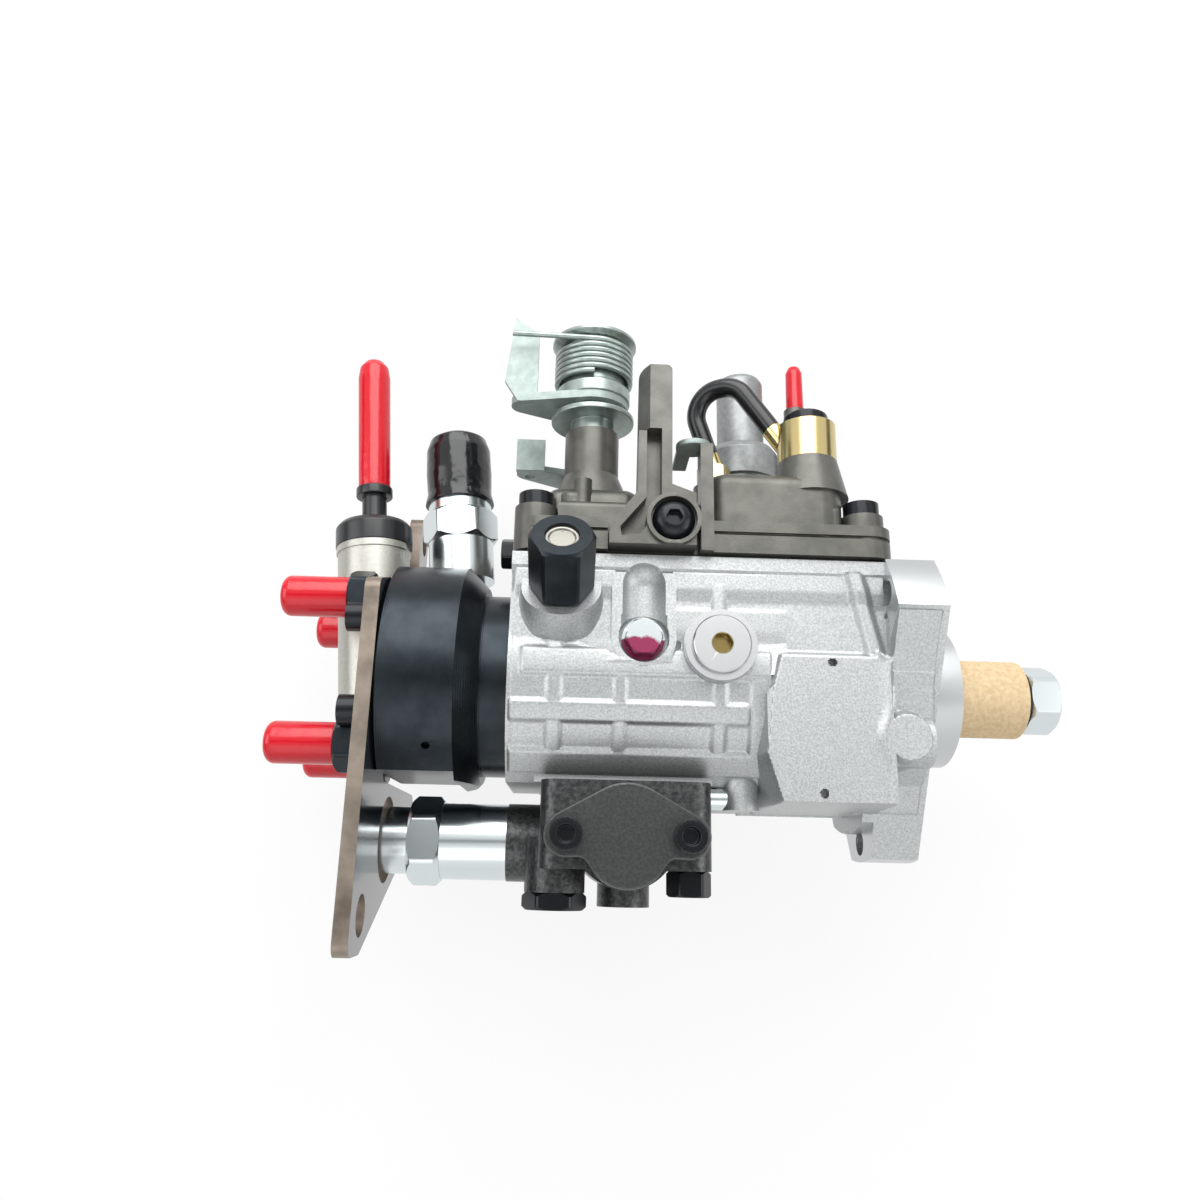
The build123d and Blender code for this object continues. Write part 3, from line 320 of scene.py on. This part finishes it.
# zinc-plated bolt with a dab of magenta sealing paint over its lower rim
def paintedZincBolt():
    mat, tree, shader, place = startMaterial("paintedZincBolt", {"Metallic": 0.9, "Roughness": 0.22})
    low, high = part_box("lock_bolt")
    middle = (low + high) / 2
    shift = addNode(tree, "ShaderNodeVectorMath", {"operation": "SUBTRACT"}, {1: middle}, {0: place})
    parts = addNode(tree, "ShaderNodeSeparateXYZ", links={"Vector": shift.outputs[0]})
    wobble = addNode(tree, "ShaderNodeTexNoise", values={"Scale": 1 / (boltPaint["wave"] * mm), "Detail": 3.0},
                     links={"Vector": place})
    mixHeight = addNode(tree, "ShaderNodeMath", {"operation": "MULTIPLY_ADD"}, {1: boltPaint["swing"] * mm},
                        {0: wobble.outputs["Fac"], 2: parts.outputs["Z"]})
    low, high = boltPaint["edge"]
    ramp = addNode(tree, "ShaderNodeMapRange", values={"From Min": low * mm, "From Max": high * mm,
                   "To Min": 1.0, "To Max": 0.0}, links={"Value": mixHeight.outputs[0]})
    # sockets 6 and 7 of the mix node are its two colours
    paint = addNode(tree, "ShaderNodeMix", {"data_type": "RGBA"},
                    {6: colour(boltPaint["zinc"]), 7: colour(boltPaint["paint"])}, {"Factor": ramp.outputs[0]})
    tree.links.new(paint.outputs[2], shader.inputs["Base Color"])
    bare, covered = boltPaint["metallic"]
    metal = addNode(tree, "ShaderNodeMapRange", values={"To Min": bare, "To Max": covered},
                    links={"Value": ramp.outputs[0]})
    tree.links.new(metal.outputs[0], shader.inputs["Metallic"])
    return mat


# nickel-plated sealing plug, satin
def paleNickel():
    return startMaterial("paleNickel", {"Metallic": 0.9, "Roughness": 0.38,
                         "Base Color": colour("#A19F97")})[0]


# each finish with the record's slots that it covers
finishes = {
    "cast_aluminium": blastedAluminium(), "machined_aluminium": turnedAluminium(),
    "cover_casting": coatedCasting(), "black_oxide": blackenedSteel(), "black_plate": oiledBlackPlate(),
    "black_screw": blackScrewSteel(), "zinc_plate": brightZinc(), "satin_zinc": satinZinc(),
    "red_vinyl": redVinyl(), "black_vinyl": blackVinyl(), "black_plastic": blackNylon(),
    "cast_iron": oiledIron(), "dark_steel": darkSinter(), "brass": turnedBrass(), "rubber": nitrileHose(),
    "kraft_paper": kraftPaper(), "steel": groundSteel(), "bronze": sinterBronze(), "gasket": gasketSheet(),
    "pale_insert": paleNickel(),
}
slotOf = {part["node"]: part["material_slot"] for part in frame["record"]["subparts"]}
print("finishes mixed:", len(finishes))

# widths of the broken edges in mm
edges = {"plain": 0.35, "main_housing": 0.9, "control_cover": 0.8, "cover_bracket": 0.6, "advance_housing": 1.2,
         "advance_cover": 0.7, "outlet_caps": 0.5, "seal_plug": 0.6}
# how the CAD meshes are read: points that are one within mm, and flat and sharp angles in degrees
reading = {"weld": 0.002, "flatAngle": 1.0, "sharpAngle": 28.0}
sealedIn = ["distributor_rotor", "plungers_and_rollers", "cam_ring", "governor_cage", "governor_weight_upper",
            "governor_weight_lower", "thrust_sleeve", "governor_arm", "governor_link", "metering_valve",
            "governor_spring", "advance_piston", "advance_spring", "solenoid_core", "shaft_bush", "shaft_seal"]
wireNodes = ["throttle_spring", "vent_hose"]


def finishMesh(mesh, material):
    mesh.materials.clear()
    mesh.materials.append(material)
    mesh.polygons.foreach_set("use_smooth", [True] * len(mesh.polygons))
    mesh.set_sharp_from_angle(angle=math.radians(reading["sharpAngle"]))


# plates that stand across X, and how far along X the normal of a rim or a hole's wall may lean
plates = {"nodes": ("support_plate", "lifting_plate"), "lean": 0.45}


def cutEdges(mesh):
    # rims and hole walls take the second finish
    mesh.materials.append(laserCut)
    for face in mesh.polygons:
        if abs(face.normal.x) < plates["lean"]:
            face.material_index = 1


# machined faces of the housing, in mm: what lies past the mounting face, the flange's back, its turned corners
# and the barrel beside them, and how square to X a back face lies
machined = {"front": -0.3, "back": -17.0, "corners": 58.0, "barrel": 42.0, "square": 0.9}


def machinedFaces(mesh):
    # spigot, mounting face, turned corners and the back of the flange are cut after casting
    mesh.materials.append(finishes["machined_aluminium"])
    for face in mesh.polygons:
        x, y, z = face.center / mm
        reach = math.hypot(y, z)
        isBack = face.normal.x < -machined["square"] and reach > machined["barrel"]
        onFlange = x > machined["back"] and (reach > machined["corners"] or isBack)
        if x > machined["front"] or onFlange:
            face.material_index = 1


def brokenEdges(nodeName, width):
    # the CAD piece again with its sharp edges broken, as a file or a tumbler leaves them
    mesh = frame["nodes"][nodeName].data.copy()
    shape = bmesh.new()
    shape.from_mesh(mesh)
    bmesh.ops.remove_doubles(shape, verts=shape.verts, dist=reading["weld"] * mm)
    bmesh.ops.dissolve_limit(shape, angle_limit=math.radians(reading["flatAngle"]), verts=shape.verts,
                             edges=shape.edges)
    if nodeName == "main_housing":
        sinkRibs(shape)
    if nodeName == "advance_cover":
        waistCover(shape)
    limit = math.radians(reading["sharpAngle"])
    sharp = [e for e in shape.edges if len(e.link_faces) == 2 and e.calc_face_angle(0) > limit]
    bmesh.ops.bevel(shape, geom=sharp, offset=width * mm, offset_type="OFFSET", segments=2, profile=0.5,
                    affect="EDGES", clamp_overlap=True, material=-1)
    bmesh.ops.triangulate(shape, faces=shape.faces)
    shape.to_mesh(mesh)
    shape.free()
    piece = bpy.data.objects.new("shown_" + nodeName, mesh)
    bpy.context.scene.collection.objects.link(piece)
    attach(piece, frame["nodes"][nodeName]["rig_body"])
    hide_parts(nodeName)
    # flat faces stay flat beside the bevels
    evenNormals = piece.modifiers.new("evenNormals", "WEIGHTED_NORMAL")
    evenNormals.keep_sharp = True
    return piece


def addPiece(name, shape, nodeName):
    # a new piece that rides with a CAD piece and shares its finish
    bmesh.ops.triangulate(shape, faces=shape.faces)
    mesh = bpy.data.meshes.new(name)
    shape.to_mesh(mesh)
    shape.free()
    piece = bpy.data.objects.new(name, mesh)
    bpy.context.scene.collection.objects.link(piece)
    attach(piece, frame["nodes"][nodeName]["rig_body"])
    finishMesh(mesh, finishes[slotOf[nodeName]])


def softStep(value, edge):
    # from 0 to 1 round zero, over the width of the edge
    t = min(max(value / edge + 0.5, 0.0), 1.0)
    return t * t * (3 - 2 * t)


# cast skin on the near side of the housing, in mm: round-edged bars and ribs that stand proud of sunk panels;
# along is the length on the round of the housing, up from the height of the shaft; bars and ribs are given by
# their ends, their borders along the round and their rise, the pocket by its centre, half width and top
skin = {"radius": 43.0, "wall": 42.2, "x": (-139.2, -54.0), "along": (-38.0, 33.0), "cell": 0.5, "edge": 2.0,
        "base": 0.12, "thick": 1.0, "rim": 1.2, "dip": 0.35, "pocket": (-96.0, 9.0, 9.4, 34.0),
        "bars": [(-135.2, -54.0, -3.6, 5.3, 1.3), (-150.0, -61.5, -18.3, -11.6, 1.2),
                 (-150.0, -50.0, -60.0, -28.0, 1.1), (-61.5, -50.0, -60.0, 4.0, 1.15)],
        "ribs": [(-126.8, -122.0, -30.0, 12.0, 0.9), (-105.3, -101.2, -30.0, 0.0, 0.9),
                 (-73.4, -69.2, -30.0, 0.0, 0.9), (-73.6, -69.4, 15.0, 28.5, 1.25)]}
# the wall swells towards the rim under the governor cover and has a thin lip below that slope, in mm
shelf = {"middle": 24.0, "slope": 5.0, "rise": 1.0, "lip": 19.4, "lipEdge": 1.2, "lipFoot": 10.0,
         "footEdge": 6.0, "lipRise": 0.35, "x": (-88.0, -50.0), "endEdges": (3.0, 6.0)}
# where the plain ribs of the housing's copy sink under the skin, in mm: their ends below and above the shaft,
# the heights and how proud they stand, how far under they go and what stays round the bolt
sunk = {"lowEnds": (-138.6, -56.6), "highEnds": (-134.0, -58.0), "y": -28.0, "z": (-32.0, 9.2),
        "proud": (0.03, 2.3), "under": 0.15, "bolt": 11.0}
# wall behind the flange, in mm: it draws back to the flat side wall, and the points by the bolt hole stay
backWall = {"x": (-24.2, -16.7), "joint": -16.5, "radius": 49.0, "slack": (0.05, 0.15), "z": (5.0, 30.0),
            "hole": (-45.0, 26.0, 4.7), "side": -41.4, "to": -41.35}


def shelfRise(x, z):
    lip = softStep(shelf["lip"] - z, shelf["lipEdge"]) * softStep(z - shelf["lipFoot"], shelf["footEdge"])
    for inside, edge in zip((x - shelf["x"][0], shelf["x"][1] - x), shelf["endEdges"]):
        lip *= softStep(inside, edge)
    return shelf["rise"] * softStep(z - shelf["middle"], shelf["slope"]) + shelf["lipRise"] * lip


def isRib(x, y, z):
    x0, x1 = sunk["lowEnds"] if z < 0 else sunk["highEnds"]
    low, high = sunk["proud"]
    offBolt = math.hypot(x - skin["pocket"][0], z - skin["pocket"][1]) > sunk["bolt"]
    inPanel = x0 < x < x1 and y < sunk["y"] and sunk["z"][0] < z < sunk["z"][1]
    return inPanel and offBolt and low < math.hypot(y, z) - skin["radius"] < high


def isBackWall(x, y, z):
    holeY, holeZ, clear = backWall["hole"]
    alongX, alongRadius = backWall["slack"]
    onJoint = abs(x - backWall["joint"]) < alongX and abs(math.hypot(y, z) - backWall["radius"]) < alongRadius
    behind = backWall["x"][0] < x < backWall["x"][1] or onJoint
    offHole = math.hypot(y - holeY, z - holeZ) > clear
    return behind and offHole and backWall["z"][0] < z < backWall["z"][1] and y < backWall["side"]


def sinkRibs(shape):
    # the plain ribs of the copy go under the skin, and the flange's own back shows beside the pillar
    for vert in shape.verts:
        x, y, z = vert.co / mm
        if isRib(x, y, z):
            shrink = (skin["radius"] - sunk["under"]) / math.hypot(y, z)
            vert.co.y *= shrink
            vert.co.z *= shrink
        elif isBackWall(x, y, z):
            vert.co.y = backWall["to"] * mm


# the advance cover's outline in mm: straight flanks above, drawn in below between the screw ears and the belly
waist = {"ear": 6.8, "pitch": 18.6, "crown": 15.8, "belly": 12.8, "drop": 3.0, "blend": 6.0, "far": 30.0,
         "steps": 180, "discs": 40, "halvings": 20}


def outsideCover(x, z):
    x = abs(x)
    if z > 0:
        # the hull of ear and crown, as discs that grow from one to the other
        shares = [t / waist["discs"] for t in range(waist["discs"] + 1)]
        return min(math.hypot(x - waist["pitch"] * (1 - t), z) - waist["ear"]
                   - (waist["crown"] - waist["ear"]) * t for t in shares)
    ear = math.hypot(x - waist["pitch"], z) - waist["ear"]
    belly = math.hypot(x, z + waist["drop"]) - waist["belly"]
    mix = max(waist["blend"] - abs(ear - belly), 0) / waist["blend"]
    return min(ear, belly) - mix * mix * waist["blend"] / 4


def waistCover(shape):
    # the outline is found by halving along each ray from the middle
    low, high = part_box("advance_cover")
    middle = (low + high) / 2
    shape.clear()
    rims = [[], []]
    for step in range(waist["steps"]):
        angle = 2 * math.pi * step / waist["steps"]
        near, far = 0.0, waist["far"]
        for halving in range(waist["halvings"]):
            reach = (near + far) / 2
            if outsideCover(reach * math.cos(angle), reach * math.sin(angle)) > 0:
                far = reach
            else:
                near = reach
        across, up = near * math.cos(angle) * mm, near * math.sin(angle) * mm
        for rim, y in zip(rims, (low.y, high.y)):
            rim.append(shape.verts.new((middle.x + across, y, middle.z + up)))
    for rim in rims:
        shape.faces.new(rim)
    for i in range(waist["steps"]):
        shape.faces.new((rims[0][i - 1], rims[0][i], rims[1][i], rims[1][i - 1]))
    bmesh.ops.recalc_face_normals(shape, faces=shape.faces)


def skinHeight(x, along):
    height = skin["base"] + shelfRise(x, along)
    for x0, x1, s0, s1, rise in skin["bars"] + skin["ribs"]:
        inside = softStep(x - x0, skin["edge"]) * softStep(x1 - x, skin["edge"])
        inside *= softStep(along - s0, skin["edge"]) * softStep(s1 - along, skin["edge"])
        height = max(height, skin["base"] + (rise - skin["base"]) * inside)
    # the borders dip under the casting
    rim = min(x - skin["x"][0], skin["x"][1] - x, along - skin["along"][0], skin["along"][1] - along)
    share = min(rim / skin["rim"], 1.0)
    return height * share - skin["dip"] * (1 - share)


def overPocket(x, z):
    pocketX, pocketZ, reach, top = skin["pocket"]
    return (abs(x - pocketX) < reach and pocketZ < z < top) or math.hypot(x - pocketX, z - pocketZ) < reach


def castSkin():
    (x0, x1), (s0, s1) = skin["x"], skin["along"]
    wallAngle = math.acos(skin["wall"] / skin["radius"])
    shape = bmesh.new()
    bmesh.ops.create_grid(shape, x_segments=int((x1 - x0) / skin["cell"]),
                          y_segments=int((s1 - s0) / skin["cell"]), size=0.5)
    for vert in shape.verts:
        x = x0 + (vert.co.x + 0.5) * (x1 - x0)
        along = s0 + (vert.co.y + 0.5) * (s1 - s0)
        height = skinHeight(x, along)
        angle = along / skin["radius"]
        if angle < wallAngle:
            reach = skin["radius"] + height
            vert.co = Vector((x, -reach * math.cos(angle), reach * math.sin(angle))) * mm
        else:
            z = skin["radius"] * math.sin(wallAngle) + along - skin["radius"] * wallAngle
            vert.co = Vector((x, -skin["wall"] - height, z)) * mm
    centres = {face: face.calc_center_median() / mm for face in shape.faces}
    hole = [face for face, centre in centres.items() if overPocket(centre.x, centre.z)]
    bmesh.ops.delete(shape, geom=hole, context="FACES")
    bmesh.ops.recalc_face_normals(shape, faces=shape.faces)
    bmesh.ops.solidify(shape, geom=shape.faces, thickness=skin["thick"] * mm)
    addPiece("cast_skin", shape, "main_housing")


# skin of the plain pad and the flange edge beside it, in mm: out is the distance towards the viewer's side
pad = {"x": (-59.8, -1.6), "z": (-43.6, 33.0), "cell": 0.5, "out": 45.75, "edge": 2.2, "thick": 0.8,
       "left": [(-60.0, -46.0), (-43.0, -53.5), (-26.8, -58.2), (-7.2, -56.0), (5.5, -52.4), (40.0, -40.0)],
       "top": 5.2, "low": -42.4, "lowEdge": 1.0, "body": 42.0, "bodyProud": 0.1, "rim": 1.0, "dip": 0.8,
       "flange": {"back": -16.6, "flat": 38.0, "turn": 30.0, "proud": 0.2, "cornerX": -17.2, "cornerZ": 18.0},
       "web": {"x": -21.0, "radius": 49.0, "proud": 0.3, "topEdge": 3.0},
       "pillar": {"x": -21.0, "lean": -0.22, "half": 2.7, "foot": 5.0, "rise": 3.0, "edge": 3.6},
       "bead": {"x": -18.0, "bow": 2.6, "bowWidth": 6.0, "rise": 0.9, "width": 1.5, "past": 1.6},
       "boss": {"x": -12.0, "z": -20.8, "radius": 8.2, "out": 44.6},
       "rivets": [(-35.8, 2.2), (-40.0, -39.0)], "rivetRadius": 1.5}


def padLeft(z):
    # left border of the pad at a height
    for (z0, x0), (z1, x1) in zip(pad["left"], pad["left"][1:]):
        if z <= z1:
            return x0 + (x1 - x0) * (z - z0) / (z1 - z0)


def padOut(x, z):
    flange, web, post, bead, boss = (pad[key] for key in ("flange", "web", "pillar", "bead", "boss"))
    turn = math.radians(flange["turn"])
    flangeOut = (flange["flat"] + math.sin(turn) * z) / math.cos(turn) + flange["proud"]
    out = max(math.sqrt(max(pad["body"] ** 2 - z * z, 0)), skin["wall"] if z > 0 else 0) + pad["bodyProud"]
    out += shelfRise(x, z)
    webOut = min(flangeOut, math.sqrt(web["radius"] ** 2 - z * z)) + web["proud"]
    if webOut > out:
        out += (webOut - out) * softStep(x - web["x"], pad["edge"]) * softStep(pad["top"] - z, web["topEdge"])
    across = abs(x - post["x"] - post["lean"] * (z - post["foot"]))
    onPost = softStep(post["half"] - across, post["edge"]) * softStep(z - post["foot"], pad["edge"])
    out += post["rise"] * onPost
    onPad = softStep(x - padLeft(z), pad["edge"]) * softStep(pad["top"] - z, pad["edge"])
    onPad *= softStep(z - pad["low"], pad["lowEdge"])
    # the pad's right border swells into a bead that bows round the boss
    beadX = bead["x"] - bead["bow"] * math.exp(-((z - boss["z"]) / bead["bowWidth"]) ** 2)
    swell = bead["rise"] * math.exp(-((x - beadX) / bead["width"]) ** 2)
    onPad *= softStep(beadX + bead["past"] - x, pad["edge"])
    out = max(out, out + (pad["out"] + swell - out) * onPad)
    if x > flange["back"]:
        out = max(out if z < 0 else 0, flangeOut)
    onBoss = softStep(boss["radius"] - math.hypot(x - boss["x"], z - boss["z"]), pad["edge"])
    return max(out, out + (boss["out"] - out) * onBoss)


def padSkin():
    (x0, x1), (z0, z1) = pad["x"], pad["z"]
    shape = bmesh.new()
    bmesh.ops.create_grid(shape, x_segments=int((x1 - x0) / pad["cell"]),
                          y_segments=int((z1 - z0) / pad["cell"]), size=0.5)
    for vert in shape.verts:
        x = x0 + (vert.co.x + 0.5) * (x1 - x0)
        z = z0 + (vert.co.y + 0.5) * (z1 - z0)
        rim = min(x - x0, x1 - x, z - z0, z1 - z)
        dip = pad["dip"] * (1.0 - min(rim / pad["rim"], 1.0))
        vert.co = Vector((x, -padOut(x, z) + dip, z)) * mm
    # the flange's upper corner and the rivet holes stay open
    gaps = []
    for face in shape.faces:
        centre = face.calc_center_median() / mm
        inCorner = centre.x > pad["flange"]["cornerX"] and centre.z > pad["flange"]["cornerZ"]
        inRivet = any(math.hypot(centre.x - x, centre.z - z) < pad["rivetRadius"] for x, z in pad["rivets"])
        if inCorner or inRivet:
            gaps.append(face)
    bmesh.ops.delete(shape, geom=gaps, context="FACES")
    bmesh.ops.recalc_face_normals(shape, faces=shape.faces)
    bmesh.ops.solidify(shape, geom=shape.faces, thickness=pad["thick"] * mm)
    addPiece("pad_skin", shape, "main_housing")


# cast shoulder that carries the throttle boss, in mm
shoulder = {"low": (-130.0, -37.5, 46.0), "high": (-97.0, 34.0, 64.0), "round": 5.5,
            "segments": 6, "tip": 0.1}


def coverShoulder():
    low, high = Vector(shoulder["low"]), Vector(shoulder["high"])
    shape = bmesh.new()
    bmesh.ops.create_cube(shape, size=1.0)
    bmesh.ops.scale(shape, vec=(high - low) * mm, verts=shape.verts)
    bmesh.ops.translate(shape, vec=(high + low) / 2 * mm, verts=shape.verts)
    crown = [e for e in shape.edges if max(v.co.z for v in e.verts) > (high.z - shoulder["tip"]) * mm]
    bmesh.ops.bevel(shape, geom=crown, offset=shoulder["round"] * mm, offset_type="OFFSET",
                    segments=shoulder["segments"], profile=0.5, affect="EDGES", clamp_overlap=True, material=-1)
    addPiece("cover_shoulder", shape, "control_cover")


shown = {}
for nodeName, node in frame["nodes"].items():
    finish = finishes[slotOf[nodeName]]
    if nodeName in sealedIn or nodeName in wireNodes:
        finishMesh(node.data, finish)
        shown[nodeName] = node
    else:
        shown[nodeName] = brokenEdges(nodeName, edges.get(nodeName, edges["plain"]))
        finishMesh(shown[nodeName].data, finish)
laserCut = laserCutEdge()
for nodeName in plates["nodes"]:
    cutEdges(shown[nodeName].data)
machinedFaces(shown["main_housing"].data)
ownFinish = {"lock_bolt": paintedZincBolt(), "timing_plug": plugWithPaintedSocketShade(), "boost_capsule": satinAluminium()}
dullZinc = passivatedZinc("passivatedZincSheet", 0.6, 0.52)
clearZinc = passivatedZinc("passivatedZincWire", 0.8, 0.34)
for nodeName in ("throttle_lever", "stop_lever", "idle_stop_plate"):
    ownFinish[nodeName] = dullZinc
for nodeName in ("throttle_washers", "throttle_spring", "spring_cup"):
    ownFinish[nodeName] = clearZinc
for nodeName, material in ownFinish.items():
    shown[nodeName].data.materials[0] = material
print("edges broken:", len(shown))
castSkin()
padSkin()
coverShoulder()
print("cast forms added")

# camera solved from the photograph, in mm and in the row frame
camera = {"place": (-118.0, -340.0, -63.9), "right": (0.999, -0.032, 0.022), "up": (-0.030, -0.275, 0.961),
          "lens": 28.5, "sensor": 36.0, "nearest": 10.0}


def setCamera():
    lens = bpy.data.cameras.new("photoCamera")
    lens.lens = camera["lens"]
    lens.sensor_width = camera["sensor"]
    lens.clip_start = camera["nearest"] * mm
    view = bpy.data.objects.new("photoCamera", lens)
    right = Vector(camera["right"]).normalized()
    up = Vector(camera["up"])
    up = (up - right * up.dot(right)).normalized()
    turn = Matrix((right, up, right.cross(up))).transposed().to_4x4()
    view.matrix_world = Matrix.Translation(Vector(camera["place"]) * mm) @ turn
    bpy.context.scene.collection.objects.link(view)
    bpy.context.scene.camera = view


# the pump lies on its back on a white table, so the table is the plane behind it
table = {"x": -120.0, "y": 62.0, "side": 12000.0, "tone": "#F4F4F4", "glow": 0.85}


def seenDirectly(tree):
    # camera and mirror rays see the white room, and the light on the piece stays plain
    path = addNode(tree, "ShaderNodeLightPath")
    seen = addNode(tree, "ShaderNodeMath", {"operation": "MAXIMUM"}, links={0: path.outputs["Is Camera Ray"],
                   1: path.outputs["Is Glossy Ray"]})
    seen = addNode(tree, "ShaderNodeMath", {"operation": "MAXIMUM"}, links={0: seen.outputs[0],
                   1: path.outputs["Is Transmission Ray"]})
    return seen.outputs[0]


def layTable():
    shape = bmesh.new()
    bmesh.ops.create_grid(shape, x_segments=1, y_segments=1, size=table["side"] / 2 * mm)
    bmesh.ops.rotate(shape, verts=shape.verts, matrix=Matrix.Rotation(math.radians(90), 3, "X"))
    bmesh.ops.translate(shape, verts=shape.verts, vec=(table["x"] * mm, table["y"] * mm, 0))
    mesh = bpy.data.meshes.new("table")
    shape.to_mesh(mesh)
    shape.free()
    top = bpy.data.objects.new("table", mesh)
    bpy.context.scene.collection.objects.link(top)
    mat, tree, shader, place = startMaterial("whitePaperTable", {"Base Color": colour(table["tone"]),
                                             "Roughness": 0.6})
    # seen from its back it is clear, so it never hides the pump
    side = addNode(tree, "ShaderNodeNewGeometry").outputs["Backfacing"]
    clear = addNode(tree, "ShaderNodeBsdfTransparent")
    glow = addNode(tree, "ShaderNodeEmission", values={"Color": colour("#FFFFFF"), "Strength": 1.0})
    share = addNode(tree, "ShaderNodeMath", {"operation": "MULTIPLY"}, {1: table["glow"]},
                    {0: seenDirectly(tree)})
    white = addNode(tree, "ShaderNodeMixShader", links={0: share.outputs[0], 1: shader.outputs[0],
                                                        2: glow.outputs[0]})
    mix = addNode(tree, "ShaderNodeMixShader", links={0: side, 1: white.outputs[0], 2: clear.outputs[0]})
    tree.links.new(mix.outputs[0], tree.nodes["Material Output"].inputs["Surface"])
    mesh.materials.append(mat)


lamps = {
    "overhead": {"place": (-120, -520, 560), "size": 700, "power": 5.8},
    "leftFill": {"place": (-760, -420, 60), "size": 500, "power": 1.6},
    "rightFill": {"place": (560, -420, -60), "size": 500, "power": 1.6},
    "lowFill": {"place": (-140, -620, -420), "size": 700, "power": 1.3},
    "backLamp": {"place": (-120, 620, 320), "size": 700, "power": 4.0},
}
# grey cards out of view give the bright metal something dark to mirror
cards = {
    "behindCamera": {"place": (-118, -900, -190), "size": (900, 420), "tone": "#55585A"},
    "leftCard": {"place": (-900, -150, 40), "size": (260, 900), "tone": "#4A4D50"},
    "rightCard": {"place": (700, -150, 40), "size": (260, 900), "tone": "#4A4D50"},
}
target = Vector((-100, 0, 10)) * mm


def hangLamps():
    for name, lamp in lamps.items():
        data = bpy.data.lights.new(name, "AREA")
        data.size = lamp["size"] * mm
        data.energy = lamp["power"]
        light = bpy.data.objects.new(name, data)
        place = Vector(lamp["place"]) * mm
        turn = (target - place).to_track_quat("-Z", "Y").to_matrix().to_4x4()
        light.matrix_world = Matrix.Translation(place) @ turn
        bpy.context.scene.collection.objects.link(light)


def standCards():
    for name, card in cards.items():
        shape = bmesh.new()
        bmesh.ops.create_grid(shape, x_segments=1, y_segments=1, size=0.5)
        bmesh.ops.scale(shape, vec=(card["size"][0] * mm, card["size"][1] * mm, 1), verts=shape.verts)
        place = Vector(card["place"]) * mm
        turn = (target - place).to_track_quat("Z", "Y").to_matrix().to_4x4()
        bmesh.ops.transform(shape, matrix=Matrix.Translation(place) @ turn, verts=shape.verts)
        mesh = bpy.data.meshes.new(name)
        shape.to_mesh(mesh)
        shape.free()
        tone = {"Base Color": colour(card["tone"]), "Roughness": 0.9}
        mesh.materials.append(startMaterial(name, tone)[0])
        sheet = bpy.data.objects.new(name, mesh)
        sheet.visible_camera = False
        sheet.visible_shadow = False
        bpy.context.scene.collection.objects.link(sheet)


# strength of the room's light on the pump, and as seen by the camera and in reflections
room = {"light": 0.45, "seen": 1.0}


def whiteRoom():
    world = bpy.data.worlds.new("whiteRoom")
    world.use_nodes = True
    bpy.context.scene.world = world
    tree = world.node_tree
    sky = tree.nodes["Background"]
    sky.inputs["Color"].default_value = colour("#FFFFFF")
    sky.inputs["Strength"].default_value = room["light"]
    white = addNode(tree, "ShaderNodeBackground", values={"Color": colour("#FFFFFF"),
                    "Strength": room["seen"]})
    mix = addNode(tree, "ShaderNodeMixShader", links={0: seenDirectly(tree), 1: sky.outputs[0],
                                                      2: white.outputs[0]})
    tree.links.new(mix.outputs[0], tree.nodes["World Output"].inputs["Surface"])


setCamera()
layTable()
hangLamps()
standCards()
whiteRoom()
bpy.context.scene.view_settings.view_transform = "Standard"
print("stage set")
